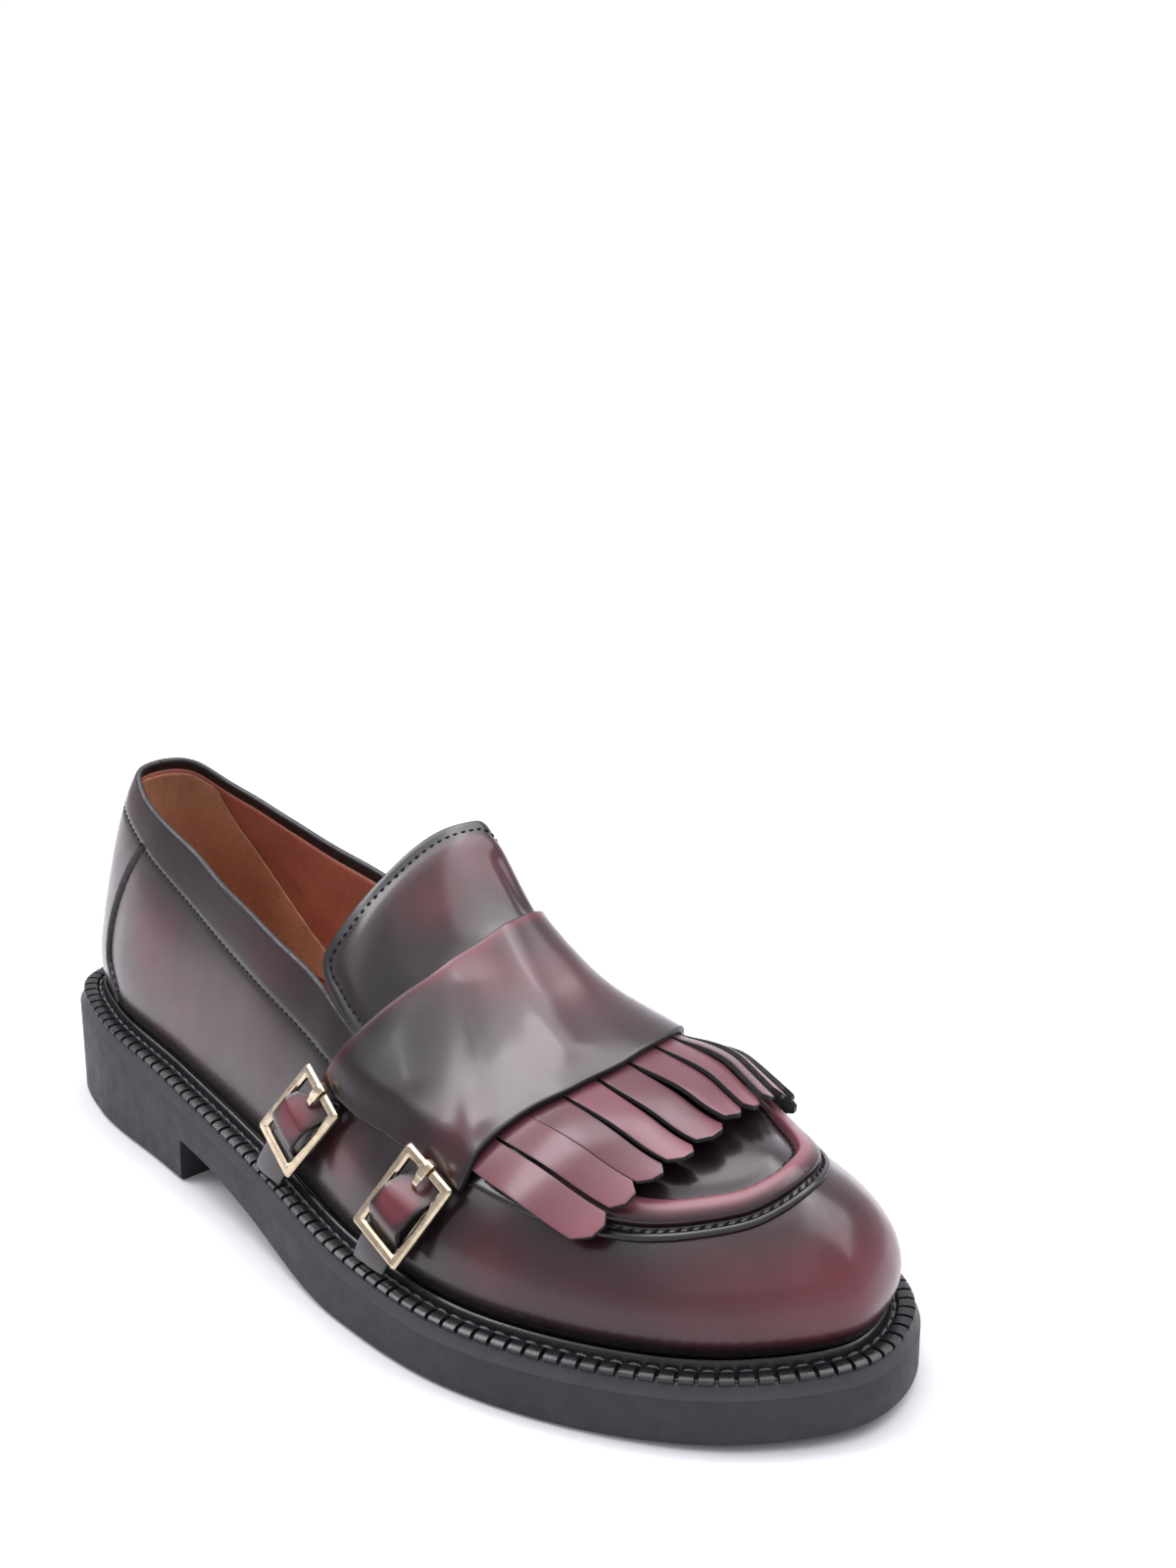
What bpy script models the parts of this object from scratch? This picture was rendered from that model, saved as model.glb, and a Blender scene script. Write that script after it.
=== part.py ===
"""A fringed moccasin loafer with two buckled straps, for the right foot.

Metres, +Z up, +X towards the toe, +Y towards the inner (medial) side. The shoe is
modelled with X measured from the back of the heel and Y from the line of the last,
and every object is then set on the origin, under the middle of the shoe's box.

The upper's form is one function, Last.point(along, around): `along` runs from the
heel (0) to the toe (1), `around` from the lateral feather edge (-1) over the ridge
of the foot (0) to the medial feather edge (1). Overlays are laid out on the same
function, at a named height above it.
"""

import math
from typing import NamedTuple

import bmesh
import bpy
import numpy as np
from mathutils import Matrix, Vector
from mathutils.bvhtree import BVHTree

# ---------------------------------------------------------------- driving sizes
LENGTH = 0.282           # outsole, heel to toe
GAP = 0.0003             # between pieces that meet
WALL = 0.0020            # upper with its lining
FEATHER_INSET = 0.0085   # from the sole's edge in to the foot of the upper
HEEL_ANCHOR = 0.040      # rear end of the ridge line that the sections rise to
TOE_ANCHOR = 0.236       # its front end
THROAT = 0.153           # front edge of the opening, under the tongue

HEEL_BREAST = 0.082
BREAST_RAMP = 0.0006
ARCH_HEIGHT = 0.0115     # under the sole just in front of the heel
BALL_CONTACT = 0.165     # where the arch comes down to the ground
SPRING_START = 0.215
TOE_SPRING = 0.0025
BEVEL_HEIGHT = 0.0050    # sloped band along the sole's upper edge
BEVEL_DEPTH = 0.0010
WELT_THICK = 0.0042
WELT_WIDTH = 0.0110      # from the sole's edge in under the upper
INSOLE_THICK = 0.0030
INSOLE_INSET = 0.0112

BAND_LEVELS = 8          # rows of the upper from the feather to the topline
VAMP_LEVELS = 6          # rows from the topline's level to the ridge
STATIONS = 50

TONGUE_LIFT = 0.0004
TONGUE_THICK = 0.0015
TONGUE_FRONT = 0.173
SADDLE_LIFT = 0.0022     # clears the tongue
SADDLE_HEM_LIFT = 0.0006
SADDLE_THICK = 0.0017
STRIP_COUNT = 11
STRIP_THICK = 0.0012
STRIP_TUCK = 0.0050      # hidden under the saddle's front edge
STRIP_ROOT_LIFT = 0.0007
STRIP_TIP_LIFT = 0.0050
STRIP_SLIT = 0.045        # share of a strip's width lost to the slit on each side
RIDGE_HEIGHT = 0.0024
FLANGE_HEIGHT = 0.0010
FLANGE_WIDTH = 0.0026
RIDGE_WIDTH = 0.0052

STRAP_WIDTH = 0.0102
STRAP_THICK = 0.0013
STRAP_LIFT = 0.0010
STRAP_BULGE = 0.0045     # of the strap through the window of its buckle
BUCKLE_WIDTH = 0.0170
BUCKLE_LENGTH = 0.0236
BUCKLE_BAR = 0.0023
BUCKLE_DEPTH = 0.0016
BUCKLE_LIFT = 0.0040     # of its middle plane over the strap's own line
PRONG_THICK = 0.0006
PRONG_LENGTH = 0.0030


# ---------------------------------------------------------------- tables
class Edge(NamedTuple):
    """A point of the sole's outline, seen from above."""
    x: float
    y: float


LATERAL_EDGE = (
    Edge(0.000, -0.0020), Edge(0.005, -0.0220), Edge(0.030, -0.0335), Edge(0.071, -0.0390),
    Edge(0.119, -0.0455), Edge(0.165, -0.0535), Edge(0.204, -0.0535), Edge(0.243, -0.0405),
    Edge(0.268, -0.0225))
TOE_EDGE = Edge(LENGTH, 0.0020)
MEDIAL_EDGE = (
    Edge(0.2750, 0.0267), Edge(0.252, 0.0428), Edge(0.210, 0.0490), Edge(0.170, 0.0430),
    Edge(0.125, 0.0335), Edge(0.070, 0.0330), Edge(0.030, 0.0325), Edge(0.006, 0.0210))


class WeltLevel(NamedTuple):
    """Height of the welt's top above the ground."""
    x: float
    z: float


WELT_LEVELS = (
    WeltLevel(0.000, 0.0325), WeltLevel(0.050, 0.0290), WeltLevel(0.090, 0.0250),
    WeltLevel(0.130, 0.0205), WeltLevel(0.170, 0.0170), WeltLevel(0.210, 0.0155),
    WeltLevel(0.250, 0.0160), WeltLevel(0.282, 0.0175))


class Section(NamedTuple):
    """One cross-section of the last.

    crest and ridge are the height and the sideways place of its highest line,
    crown and flank the roundness of its top and its sides, bulge_lateral and
    bulge_medial how far the sides stand out past the feather, and belly how far up,
    as a share of the height, they do so.
    """
    x: float
    crest: float
    ridge: float
    crown: float
    flank: float
    bulge_lateral: float
    bulge_medial: float
    belly: float


SECTIONS = (
    Section(0.008, 0.1200, 0.000, 2.10, 1.87, 0.0020, 0.0020, 0.11),
    Section(0.060, 0.1045, 0.001, 2.00, 1.85, 0.0018, 0.0018, 0.18),
    Section(0.100, 0.1095, 0.010, 2.00, 1.85, 0.0010, 0.0010, 0.20),
    Section(0.135, 0.1040, 0.016, 2.00, 1.60, 0.0010, 0.0010, 0.25),
    Section(0.160, 0.0817, 0.011, 2.00, 1.55, 0.0020, 0.0010, 0.25),
    Section(0.185, 0.0683, 0.009, 2.00, 1.58, 0.0030, 0.0020, 0.31),
    Section(0.210, 0.0628, 0.007, 2.10, 1.92, 0.0030, 0.0028, 0.34),
    Section(0.240, 0.0525, 0.006, 2.20, 2.30, 0.0035, 0.0045, 0.38),
    Section(0.274, 0.0555, 0.003, 2.20, 2.60, 0.0040, 0.0046, 0.34))


class Topline(NamedTuple):
    """Height of the collar's edge."""
    x: float
    z: float


TOPLINE = (
    Topline(0.012, 0.1030), Topline(0.021, 0.0985), Topline(0.034, 0.0918), Topline(0.048, 0.0880),
    Topline(0.062, 0.0845), Topline(0.078, 0.0800), Topline(0.095, 0.0768),
    Topline(0.110, 0.0733), Topline(0.125, 0.0695), Topline(0.150, 0.0600))


class TongueEdge(NamedTuple):
    """Where the tongue's free edge lies, at a place around the instep."""
    around: float
    x: float


TONGUE_EDGE = (
    TongueEdge(-0.565, 0.1420), TongueEdge(-0.555, 0.1340), TongueEdge(-0.520, 0.1300),
    TongueEdge(-0.440, 0.1320), TongueEdge(-0.300, 0.1360), TongueEdge(-0.120, 0.1385),
    TongueEdge(0.000, 0.1400), TongueEdge(0.110, 0.1408), TongueEdge(0.220, 0.1400),
    TongueEdge(0.340, 0.1354), TongueEdge(0.440, 0.1322), TongueEdge(0.480, 0.1345),
    TongueEdge(0.500, 0.1400))


class SaddleEdge(NamedTuple):
    """Where the saddle's back and front edges lie, at a place around the instep."""
    around: float
    back: float
    front: float


SADDLE_EDGES = (
    SaddleEdge(-0.70, 0.1435, 0.1955), SaddleEdge(-0.55, 0.1500, 0.1970),
    SaddleEdge(-0.42, 0.1550, 0.2010), SaddleEdge(-0.28, 0.1595, 0.2070),
    SaddleEdge(-0.12, 0.1615, 0.2100), SaddleEdge(0.05, 0.1605, 0.2090),
    SaddleEdge(0.20, 0.1575, 0.2055), SaddleEdge(0.35, 0.1520, 0.2000),
    SaddleEdge(0.50, 0.1450, 0.1940), SaddleEdge(0.70, 0.1340, 0.1860),
    SaddleEdge(0.80, 0.1283, 0.1818))


class SaddleHem(NamedTuple):
    """How far down each side the saddle reaches, from its back edge (0) to its front (1)."""
    share: float
    lateral: float
    medial: float


SADDLE_HEMS = (
    SaddleHem(0.00, -0.700, 0.770), SaddleHem(0.25, -0.660, 0.765),
    SaddleHem(0.50, -0.625, 0.742), SaddleHem(0.75, -0.607, 0.738),
    SaddleHem(1.00, -0.633, 0.742))


class Fringe(NamedTuple):
    """The fringe at a share of its width: where its root and its tips lie."""
    share: float
    root_around: float
    tip_around: float
    tip_x: float


FRINGE = (
    Fringe(0.00, -0.570, -0.670, 0.2300), Fringe(0.09, -0.480, -0.555, 0.2330),
    Fringe(0.14, -0.435, -0.490, 0.2330),
    Fringe(0.25, -0.330, -0.390, 0.2360), Fringe(0.40, -0.165, -0.210, 0.2385),
    Fringe(0.55, 0.020, 0.075, 0.2375), Fringe(0.70, 0.222, 0.285, 0.2325),
    Fringe(0.85, 0.405, 0.480, 0.2283), Fringe(1.00, 0.580, 0.680, 0.2230))

APRON_EDGE = (
    Edge(0.2060, -0.0376), Edge(0.2158, -0.0360), Edge(0.2326, -0.0293), Edge(0.2473, -0.0199),
    Edge(0.2573, -0.0087), Edge(0.2603, 0.0039), Edge(0.2559, 0.0161), Edge(0.2445, 0.0262),
    Edge(0.2300, 0.0332), Edge(0.2160, 0.0358), Edge(0.2050, 0.0360))


class StrapPlace(NamedTuple):
    """One buckled strap on the lateral side, by the ends of its middle line.

    foot_stand is how far its foot stands off the upper, over the welt's bead, and
    buckle_at the share of its length at which the middle of its buckle lies, and
    tilt how much further out the buckle's upper end lies than its lower end. turn is
    the way the strap faces: how far its face runs towards medial for each unit ahead.
    """
    name: str
    foot_x: float
    foot_z: float
    top_x: float
    top_z: float
    foot_stand: float
    buckle_at: float
    tilt: float
    turn: float


STRAPS = (
    StrapPlace("rear", 0.1302, 0.0213, 0.1455, 0.0453, 0.0046, 0.73, 0.0000, 0.03),
    StrapPlace("front", 0.1770, 0.0179, 0.1877, 0.0401, 0.0036, 0.70, 0.0016, 0.15))


# ---------------------------------------------------------------- curves and tables
def column(table, name):
    """One named column of a table."""
    return np.array([getattr(row, name) for row in table])


def read(table, name, at, by="x"):
    """A table's column, read smoothly between its rows and without overshoot."""
    knots, values = column(table, by), column(table, name)
    steps = np.diff(knots)
    slopes = np.diff(values) / steps
    tangents = np.zeros_like(values)
    tangents[0], tangents[-1] = slopes[0], slopes[-1]
    for i in range(1, len(knots) - 1):
        if slopes[i - 1] * slopes[i] > 0.0:
            ahead = 2.0 * steps[i] + steps[i - 1]
            behind = steps[i] + 2.0 * steps[i - 1]
            tangents[i] = (ahead + behind) / (ahead / slopes[i - 1] + behind / slopes[i])
    where = np.clip(np.asarray(at, float), knots[0], knots[-1])
    i = np.clip(np.searchsorted(knots, where) - 1, 0, len(knots) - 2)
    t = (where - knots[i]) / steps[i]
    return ((2 * t**3 - 3 * t**2 + 1) * values[i] + (t**3 - 2 * t**2 + t) * steps[i] * tangents[i]
            + (3 * t**2 - 2 * t**3) * values[i + 1] + (t**3 - t**2) * steps[i] * tangents[i + 1])


def smooth_curve(points, per_span, closed):
    """A centripetal Catmull-Rom curve through points."""
    p = np.array(points, float)
    count = len(p)
    pieces = []
    for i in range(count if closed else count - 1):
        b, c = p[i], p[(i + 1) % count]
        a = p[i - 1] if closed or i > 0 else 2 * b - c
        d = p[(i + 2) % count] if closed or i + 2 < count else 2 * c - b
        t1 = np.linalg.norm(b - a) ** 0.5
        t2 = t1 + np.linalg.norm(c - b) ** 0.5
        t3 = t2 + np.linalg.norm(d - c) ** 0.5
        t = np.linspace(t1, t2, per_span, endpoint=False)[:, None]
        ab = (t1 - t) / t1 * a + t / t1 * b
        bc = (t2 - t) / (t2 - t1) * b + (t - t1) / (t2 - t1) * c
        cd = (t3 - t) / (t3 - t2) * c + (t - t2) / (t3 - t2) * d
        abc = (t2 - t) / t2 * ab + t / t2 * bc
        bcd = (t3 - t) / (t3 - t1) * bc + (t - t1) / (t3 - t1) * cd
        pieces.append((t2 - t) / (t2 - t1) * abc + (t - t1) / (t2 - t1) * bcd)
    if not closed:
        pieces.append(p[-1:])
    return np.vstack(pieces)


def ease(t):
    """A soft step from 0 to 1."""
    t = np.clip(t, 0.0, 1.0)
    return t * t * (3.0 - 2.0 * t)


def lerp(a, b, t):
    return a + (b - a) * t


def round_stations(count):
    """Shares from 0 to 1 that crowd together at both ends, where the plan is round."""
    return (1.0 - np.cos(np.pi * np.linspace(0.0, 1.0, count))) / 2.0


class Plan:
    """The sole's outline from above, moved inwards by a distance."""

    def __init__(self, inset):
        edge = smooth_curve(LATERAL_EDGE + (TOE_EDGE,) + MEDIAL_EDGE, 120, closed=True)
        run = np.roll(edge, -1, axis=0) - np.roll(edge, 1, axis=0)
        run /= np.linalg.norm(run, axis=1)[:, None]
        edge = edge + inset * np.c_[-run[:, 1], run[:, 0]]
        edge = np.roll(edge, -edge[:, 0].argmin(), axis=0)
        toe = edge[:, 0].argmax()
        self.loop = edge
        self.start, self.end = edge[0, 0], edge[toe, 0]
        self.halves = {-1: edge[:toe + 1], 1: np.vstack([edge[toe:], edge[:1]])[::-1]}

    def by_length(self, side, share):
        """The point a share of the way round one side, from the heel to the toe."""
        half = self.halves[side]
        run = np.r_[0.0, np.cumsum(np.linalg.norm(np.diff(half, axis=0), axis=1))]
        run /= run[-1]
        return np.c_[np.interp(share, run, half[:, 0]), np.interp(share, run, half[:, 1])]

    def by_x(self, side, share):
        """The point on one side at a share of the outline's length along X."""
        half = self.halves[side]
        x = lerp(self.start, self.end, np.asarray(share, float))
        return np.c_[x, np.interp(x, half[:, 0], half[:, 1])]


def welt_top(x):
    return read(WELT_LEVELS, "z", x)


def ground_line(x):
    """Height of the outsole's underside: heel, arch, forefoot and toe spring."""
    arch = ARCH_HEIGHT * (1.0 - ease((x - HEEL_BREAST) / (BALL_CONTACT - HEEL_BREAST)))
    breast = np.clip((x - HEEL_BREAST) / BREAST_RAMP + 1.0, 0.0, 1.0)
    spring = TOE_SPRING * np.clip((x - SPRING_START) / (LENGTH - SPRING_START), 0.0, 1.0) ** 2
    return arch * breast + spring


# ---------------------------------------------------------------- the last
class Last:
    """The outer form of the upper."""

    def __init__(self):
        self.feather = Plan(FEATHER_INSET)
        self.tree = self.make_tree()

    def point(self, along, around):
        """Points of the surface; both arguments are arrays of one shape."""
        along, around = np.broadcast_arrays(np.asarray(along, float), np.asarray(around, float))
        shape = along.shape
        along, around = along.ravel(), around.ravel()
        lateral = self.feather.by_length(-1, along)
        medial = self.feather.by_length(1, along)
        middle = (lateral[:, 0] + medial[:, 0]) / 2.0
        share = (middle - self.feather.start) / (self.feather.end - self.feather.start)
        ridge_x = lerp(HEEL_ANCHOR, TOE_ANCHOR, share)
        ridge = np.c_[ridge_x, read(SECTIONS, "ridge", ridge_x)]
        outer = around < 0.0
        foot = np.where(outer[:, None], lateral, medial)
        turn = (1.0 - np.abs(around)) * np.pi / 2.0
        inward = 1.0 - np.cos(turn) ** (2.0 / read(SECTIONS, "crown", middle))
        rise = np.sin(turn) ** (2.0 / read(SECTIONS, "flank", middle))
        bulges = read(SECTIONS, "bulge_lateral", middle), read(SECTIONS, "bulge_medial", middle)
        apart = ease(np.minimum(along, 1.0 - along) / 0.06)
        bulge = lerp((bulges[0] + bulges[1]) / 2.0, np.where(outer, *bulges), apart)
        belly = read(SECTIONS, "belly", middle)
        hump = rise / belly * ((1.0 - rise) / (1.0 - belly)) ** ((1.0 - belly) / belly)
        reach = ridge - foot
        width = np.linalg.norm(reach, axis=1)
        plan = foot + reach / width[:, None] * (width * inward - bulge * hump)[:, None]
        base = welt_top(foot[:, 0]) + GAP
        height = base + (read(SECTIONS, "crest", plan[:, 0]) - base) * rise
        return np.c_[plan, height].reshape(shape + (3,))

    def normal(self, along, around):
        """Outward unit normals of the surface."""
        step = 1e-4
        along, around = np.broadcast_arrays(np.asarray(along, float), np.asarray(around, float))
        a0, a1 = np.clip(along - step, 0.0, 1.0), np.clip(along + step, 0.0, 1.0)
        side = np.where(around < 0.0, -1.0, 1.0)
        far = np.clip(np.abs(around) + step, 0.0, 1.0) * side
        near = np.clip(np.abs(around) - step, 1e-6, 1.0) * side
        to_medial = (self.point(along, far) - self.point(along, near)) * side[..., None]
        ahead = self.point(a1, around) - self.point(a0, around)
        normal = np.cross(ahead, to_medial)
        return normal / np.linalg.norm(normal, axis=-1)[..., None]

    def at_x(self, x, around):
        """The share along the last at which a place around it lies at X."""
        x, around = np.broadcast_arrays(np.asarray(x, float), np.asarray(around, float))
        low, high = np.zeros(x.shape), np.ones(x.shape)
        for _ in range(40):
            middle = (low + high) / 2.0
            behind = self.point(middle, around)[..., 0] < x
            low, high = np.where(behind, middle, low), np.where(behind, high, middle)
        return (low + high) / 2.0

    def raised(self, along, around, lift):
        """Points at a height above the surface."""
        lift = np.asarray(lift, float)
        return self.point(along, around) + self.normal(along, around) * lift[..., None]

    def topline_around(self, along, side):
        """How far around the collar's edge lies at a share along, on one side."""
        low, high = np.full(len(along), 1.0), np.full(len(along), 0.05)
        for _ in range(40):
            middle = (low + high) / 2.0
            place = self.point(along, side * middle)
            below = place[:, 2] < read(TOPLINE, "z", place[:, 0])
            low, high = np.where(below, middle, low), np.where(below, high, middle)
        return (low + high) / 2.0

    def make_tree(self):
        """A fine copy of the surface, to be met by straight lines."""
        along = round_stations(240)
        around = np.linspace(-1.0, 1.0, 201)
        grid = self.point(along[:, None], around[None, :])
        rows, columns = grid.shape[:2]
        index = np.arange(rows * columns).reshape(rows, columns)
        quads = np.stack([index[:-1, :-1], index[1:, :-1], index[1:, 1:], index[:-1, 1:]], axis=-1)
        return BVHTree.FromPolygons([tuple(p) for p in grid.reshape(-1, 3)],
                                    [tuple(q) for q in quads.reshape(-1, 4).tolist()])

    def hit(self, start, direction):
        """Where a straight line first meets the surface, with the normal facing its start."""
        place, normal, _, _ = self.tree.ray_cast(Vector(start), Vector(direction))
        if normal.dot(Vector(direction)) > 0.0:
            normal = -normal
        return np.array(place), np.array(normal)

    def from_above(self, x, y):
        return self.hit((x, y, 0.5), (0.0, 0.0, -1.0))

    def from_lateral(self, x, z):
        return self.hit((x, -0.5, z), (0.0, 1.0, 0.0))


# ---------------------------------------------------------------- meshes
def material(name, colour, roughness, metallic=0.0):
    """A Principled material."""
    made = bpy.data.materials.new(name)
    made.use_nodes = True
    shader = made.node_tree.nodes["Principled BSDF"]
    shader.inputs["Base Color"].default_value = (*colour, 1.0)
    shader.inputs["Roughness"].default_value = roughness
    shader.inputs["Metallic"].default_value = metallic
    return made


def grid_faces(rows, columns, closed=False):
    """Quads between neighbouring rows; a closed grid joins its last column to its first."""
    faces = []
    for i in range(rows - 1):
        for j in range(columns if closed else columns - 1):
            k = (j + 1) % columns
            faces.append((i * columns + j, (i + 1) * columns + j,
                          (i + 1) * columns + k, i * columns + k))
    return faces


def sheet_mesh(name, grid):
    """An open surface through a grid of points."""
    rows, columns = grid.shape[:2]
    return mesh_from(name, grid.reshape(-1, 3), grid_faces(rows, columns))


def tube_mesh(name, rings, ring_closed=False):
    """A closed body swept through rings of points; its ends are capped unless it is a ring."""
    count, corners = rings.shape[:2]
    points = np.concatenate([rings, rings[:1]]) if ring_closed else rings
    faces = grid_faces(len(points), corners, closed=True)
    if not ring_closed:
        faces += [tuple(range(corners)), tuple(range((count - 1) * corners, count * corners))[::-1]]
    return mesh_from(name, points.reshape(-1, 3), faces)


def mesh_from(name, points, faces):
    """A mesh with doubled points welded and its faces turned outwards."""
    mesh = bpy.data.meshes.new(name)
    mesh.from_pydata([tuple(p) for p in points], [], faces)
    work = bmesh.new()
    work.from_mesh(mesh)
    bmesh.ops.remove_doubles(work, verts=work.verts, dist=2e-6)
    bmesh.ops.dissolve_degenerate(work, edges=work.edges, dist=1e-6)
    bmesh.ops.recalc_face_normals(work, faces=work.faces)
    work.to_mesh(mesh)
    work.free()
    return mesh


def add(name, mesh, finish):
    """An object in the shoe's collection, set over the origin."""
    made = bpy.data.objects.new(name, mesh)
    mesh.materials.append(finish)
    mesh.shade_smooth()
    mesh.set_sharp_from_angle(angle=math.radians(40.0))
    made.location = (-LENGTH / 2.0, -MIDDLE_Y, 0.0)
    SHOE.objects.link(made)
    return made


def add_shell(name, grid, thickness, finish):
    """An open surface given thickness on its inner side."""
    return thicken(add(name, sheet_mesh(name, grid), finish), thickness)


def thicken(made, thickness):
    """A Solidify modifier that grows inwards from the modelled surface."""
    shell = made.modifiers.new("thickness", "SOLIDIFY")
    shell.thickness = thickness
    shell.offset = -1.0
    return made


# ---------------------------------------------------------------- sole pieces
def make_outsole(finish):
    """Heel, arch and forefoot in one, with a rebate round the top for the welt."""
    breast = (HEEL_BREAST - BREAST_RAMP) / LENGTH, HEEL_BREAST / LENGTH
    shares = np.sort(np.r_[round_stations(44), breast])
    wall, rim = Plan(0.0), Plan(BEVEL_DEPTH)
    rebate = Plan(WELT_WIDTH + GAP)
    across = np.linspace(0.0, 1.0, 5)

    def floor_row():
        lateral, medial = wall.by_x(-1, shares), wall.by_x(1, shares)
        rows = [lerp(lateral, medial, t) for t in across]
        return [np.c_[row, ground_line(row[:, 0])] for row in rows]

    def edge_row(plan, side, height):
        place = plan.by_x(side, shares)
        return np.c_[place, height(place[:, 0])]

    def shoulder(x):
        return welt_top(x) - WELT_THICK - GAP

    loop = floor_row()
    loop.append(edge_row(wall, 1, lambda x: shoulder(x) - BEVEL_HEIGHT))
    loop.append(edge_row(rim, 1, shoulder))
    loop.append(edge_row(rebate, 1, shoulder))
    loop.append(edge_row(rebate, 1, welt_top))
    loop.append(edge_row(rebate, -1, welt_top))
    loop.append(edge_row(rebate, -1, shoulder))
    loop.append(edge_row(rim, -1, shoulder))
    loop.append(edge_row(wall, -1, lambda x: shoulder(x) - BEVEL_HEIGHT))
    return add("outsole", tube_mesh("outsole", np.stack(loop, axis=1)), finish)


def make_welt(finish):
    """A ring round the feather line with a raised bead beside the upper."""
    profile = (
        (0.0012, -WELT_THICK), (0.0012, -0.0006), (0.0018, 0.0), (0.0046, -0.0002),
        (0.0052, -0.0010), (0.0056, -0.0002), (0.0062, 0.0010), (0.0070, 0.0008),
        (0.0076, 0.0), (WELT_WIDTH, 0.0), (WELT_WIDTH, -WELT_THICK))
    even = np.linspace(0.0, 1.0, 80, endpoint=False)
    shares = even - 0.5 * np.sin(4.0 * np.pi * even) / (4.0 * np.pi)
    columns = []
    for inset, height in profile:
        loop = Plan(inset).loop
        run = np.r_[0.0, np.cumsum(np.linalg.norm(np.diff(np.vstack([loop, loop[:1]]), axis=0),
                                                  axis=1))]
        closed = np.vstack([loop, loop[:1]])
        place = np.c_[np.interp(shares, run / run[-1], closed[:, 0]),
                      np.interp(shares, run / run[-1], closed[:, 1])]
        columns.append(np.c_[place, welt_top(place[:, 0]) + height])
    return add("welt", tube_mesh("welt", np.stack(columns, axis=1), ring_closed=True), finish)


def make_insole(finish):
    """A flat board that fills the foot of the upper."""
    shares = round_stations(30)
    plan = Plan(INSOLE_INSET)
    lateral, medial = plan.by_x(-1, shares), plan.by_x(1, shares)
    loop = []
    for height, order in ((GAP, (0.0, 0.5, 1.0)), (GAP + INSOLE_THICK, (1.0, 0.5, 0.0))):
        for t in order:
            row = lerp(lateral, medial, t)
            loop.append(np.c_[row, welt_top(row[:, 0]) + height])
    return add("insole", tube_mesh("insole", np.stack(loop, axis=1)), finish)


# ---------------------------------------------------------------- the upper
def make_upper(last, finish):
    """Vamp, quarters and counter as one shell, open at the collar and underneath."""
    throat = float(last.at_x(THROAT, -0.55))
    shares = np.linspace(0.0, 1.0, STATIONS)
    throat_row = int(np.abs(shares - throat).argmin())
    shares[throat_row] = throat
    top = {side: last.topline_around(shares, side) for side in (-1, 1)}
    ahead = (shares[throat_row:] - throat) / (1.0 - throat)
    for side in (-1, 1):
        top[side][throat_row:] = lerp(top[side][throat_row], 0.5, ahead)
    columns, holes = [], []
    for side in (-1, 1):
        levels = [lerp(1.0, top[side], t) for t in np.linspace(0.0, 1.0, BAND_LEVELS + 1)]
        above = [lerp(top[side], 0.0, t) for t in np.linspace(0.0, 1.0, VAMP_LEVELS + 1)[1:]]
        grid = np.stack([last.point(shares, side * level) for level in levels + above], axis=1)
        columns.append(grid)
    work = bmesh.new()
    for grid in columns:
        points = [[work.verts.new(p) for p in row] for row in grid]
        for i in range(STATIONS - 1):
            for j in range(BAND_LEVELS + VAMP_LEVELS):
                if j >= BAND_LEVELS and i < throat_row:
                    continue
                work.faces.new((points[i][j], points[i + 1][j],
                                points[i + 1][j + 1], points[i][j + 1]))
    loose = [v for v in work.verts if not v.link_faces]
    bmesh.ops.delete(work, geom=loose, context="VERTS")
    bmesh.ops.remove_doubles(work, verts=work.verts, dist=2e-6)
    bmesh.ops.dissolve_degenerate(work, edges=work.edges, dist=1e-6)
    bmesh.ops.recalc_face_normals(work, faces=work.faces)
    mesh = bpy.data.meshes.new("upper")
    work.to_mesh(mesh)
    work.free()
    return thicken(add("upper", mesh, finish), WALL)


def make_tongue(last, finish):
    """The raised instep piece: a tab with rounded corners, its front under the saddle."""
    start, end = TONGUE_EDGE[0].around, TONGUE_EDGE[-1].around
    across = lerp(start, end, round_stations(23))
    back = read(TONGUE_EDGE, "x", across, by="around")
    rows = []
    for t in np.linspace(0.0, 1.0, 8):
        x = lerp(back, TONGUE_FRONT, t)
        around = across * (1.0 - 0.07 * t)
        rows.append(last.raised(last.at_x(x, around), around,
                                np.full(len(around), TONGUE_LIFT + TONGUE_THICK)))
    return add_shell("tongue", np.stack(rows), TONGUE_THICK, finish)


def saddle_lift(around, hem_lateral, hem_medial):
    """Height of the saddle's outer face: over the tongue it is high, at its hems low."""
    room = 0.05
    near_hem = np.minimum((around - hem_lateral) / room, (hem_medial - around) / room)
    return SADDLE_THICK + lerp(SADDLE_HEM_LIFT, SADDLE_LIFT, ease(near_hem))


def saddle_point(last, t, u):
    """A point of the saddle's outer face: t from back to front, u from lateral to medial."""
    lateral, medial = read(SADDLE_HEMS, "lateral", t, "share"), read(SADDLE_HEMS, "medial", t, "share")
    around = lerp(lateral, medial, u)
    back = read(SADDLE_EDGES, "back", around, by="around")
    front = read(SADDLE_EDGES, "front", around, by="around")
    x = lerp(back, front, t)
    return last.raised(last.at_x(x, around), around, saddle_lift(around, lateral, medial))


def make_saddle(last, finish):
    """The wide strap over the instep."""
    across = np.linspace(0.0, 1.0, 27)
    rows = [saddle_point(last, np.full(len(across), t), across) for t in np.linspace(0.0, 1.0, 9)]
    return add_shell("saddle", np.stack(rows), SADDLE_THICK, finish)


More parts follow.
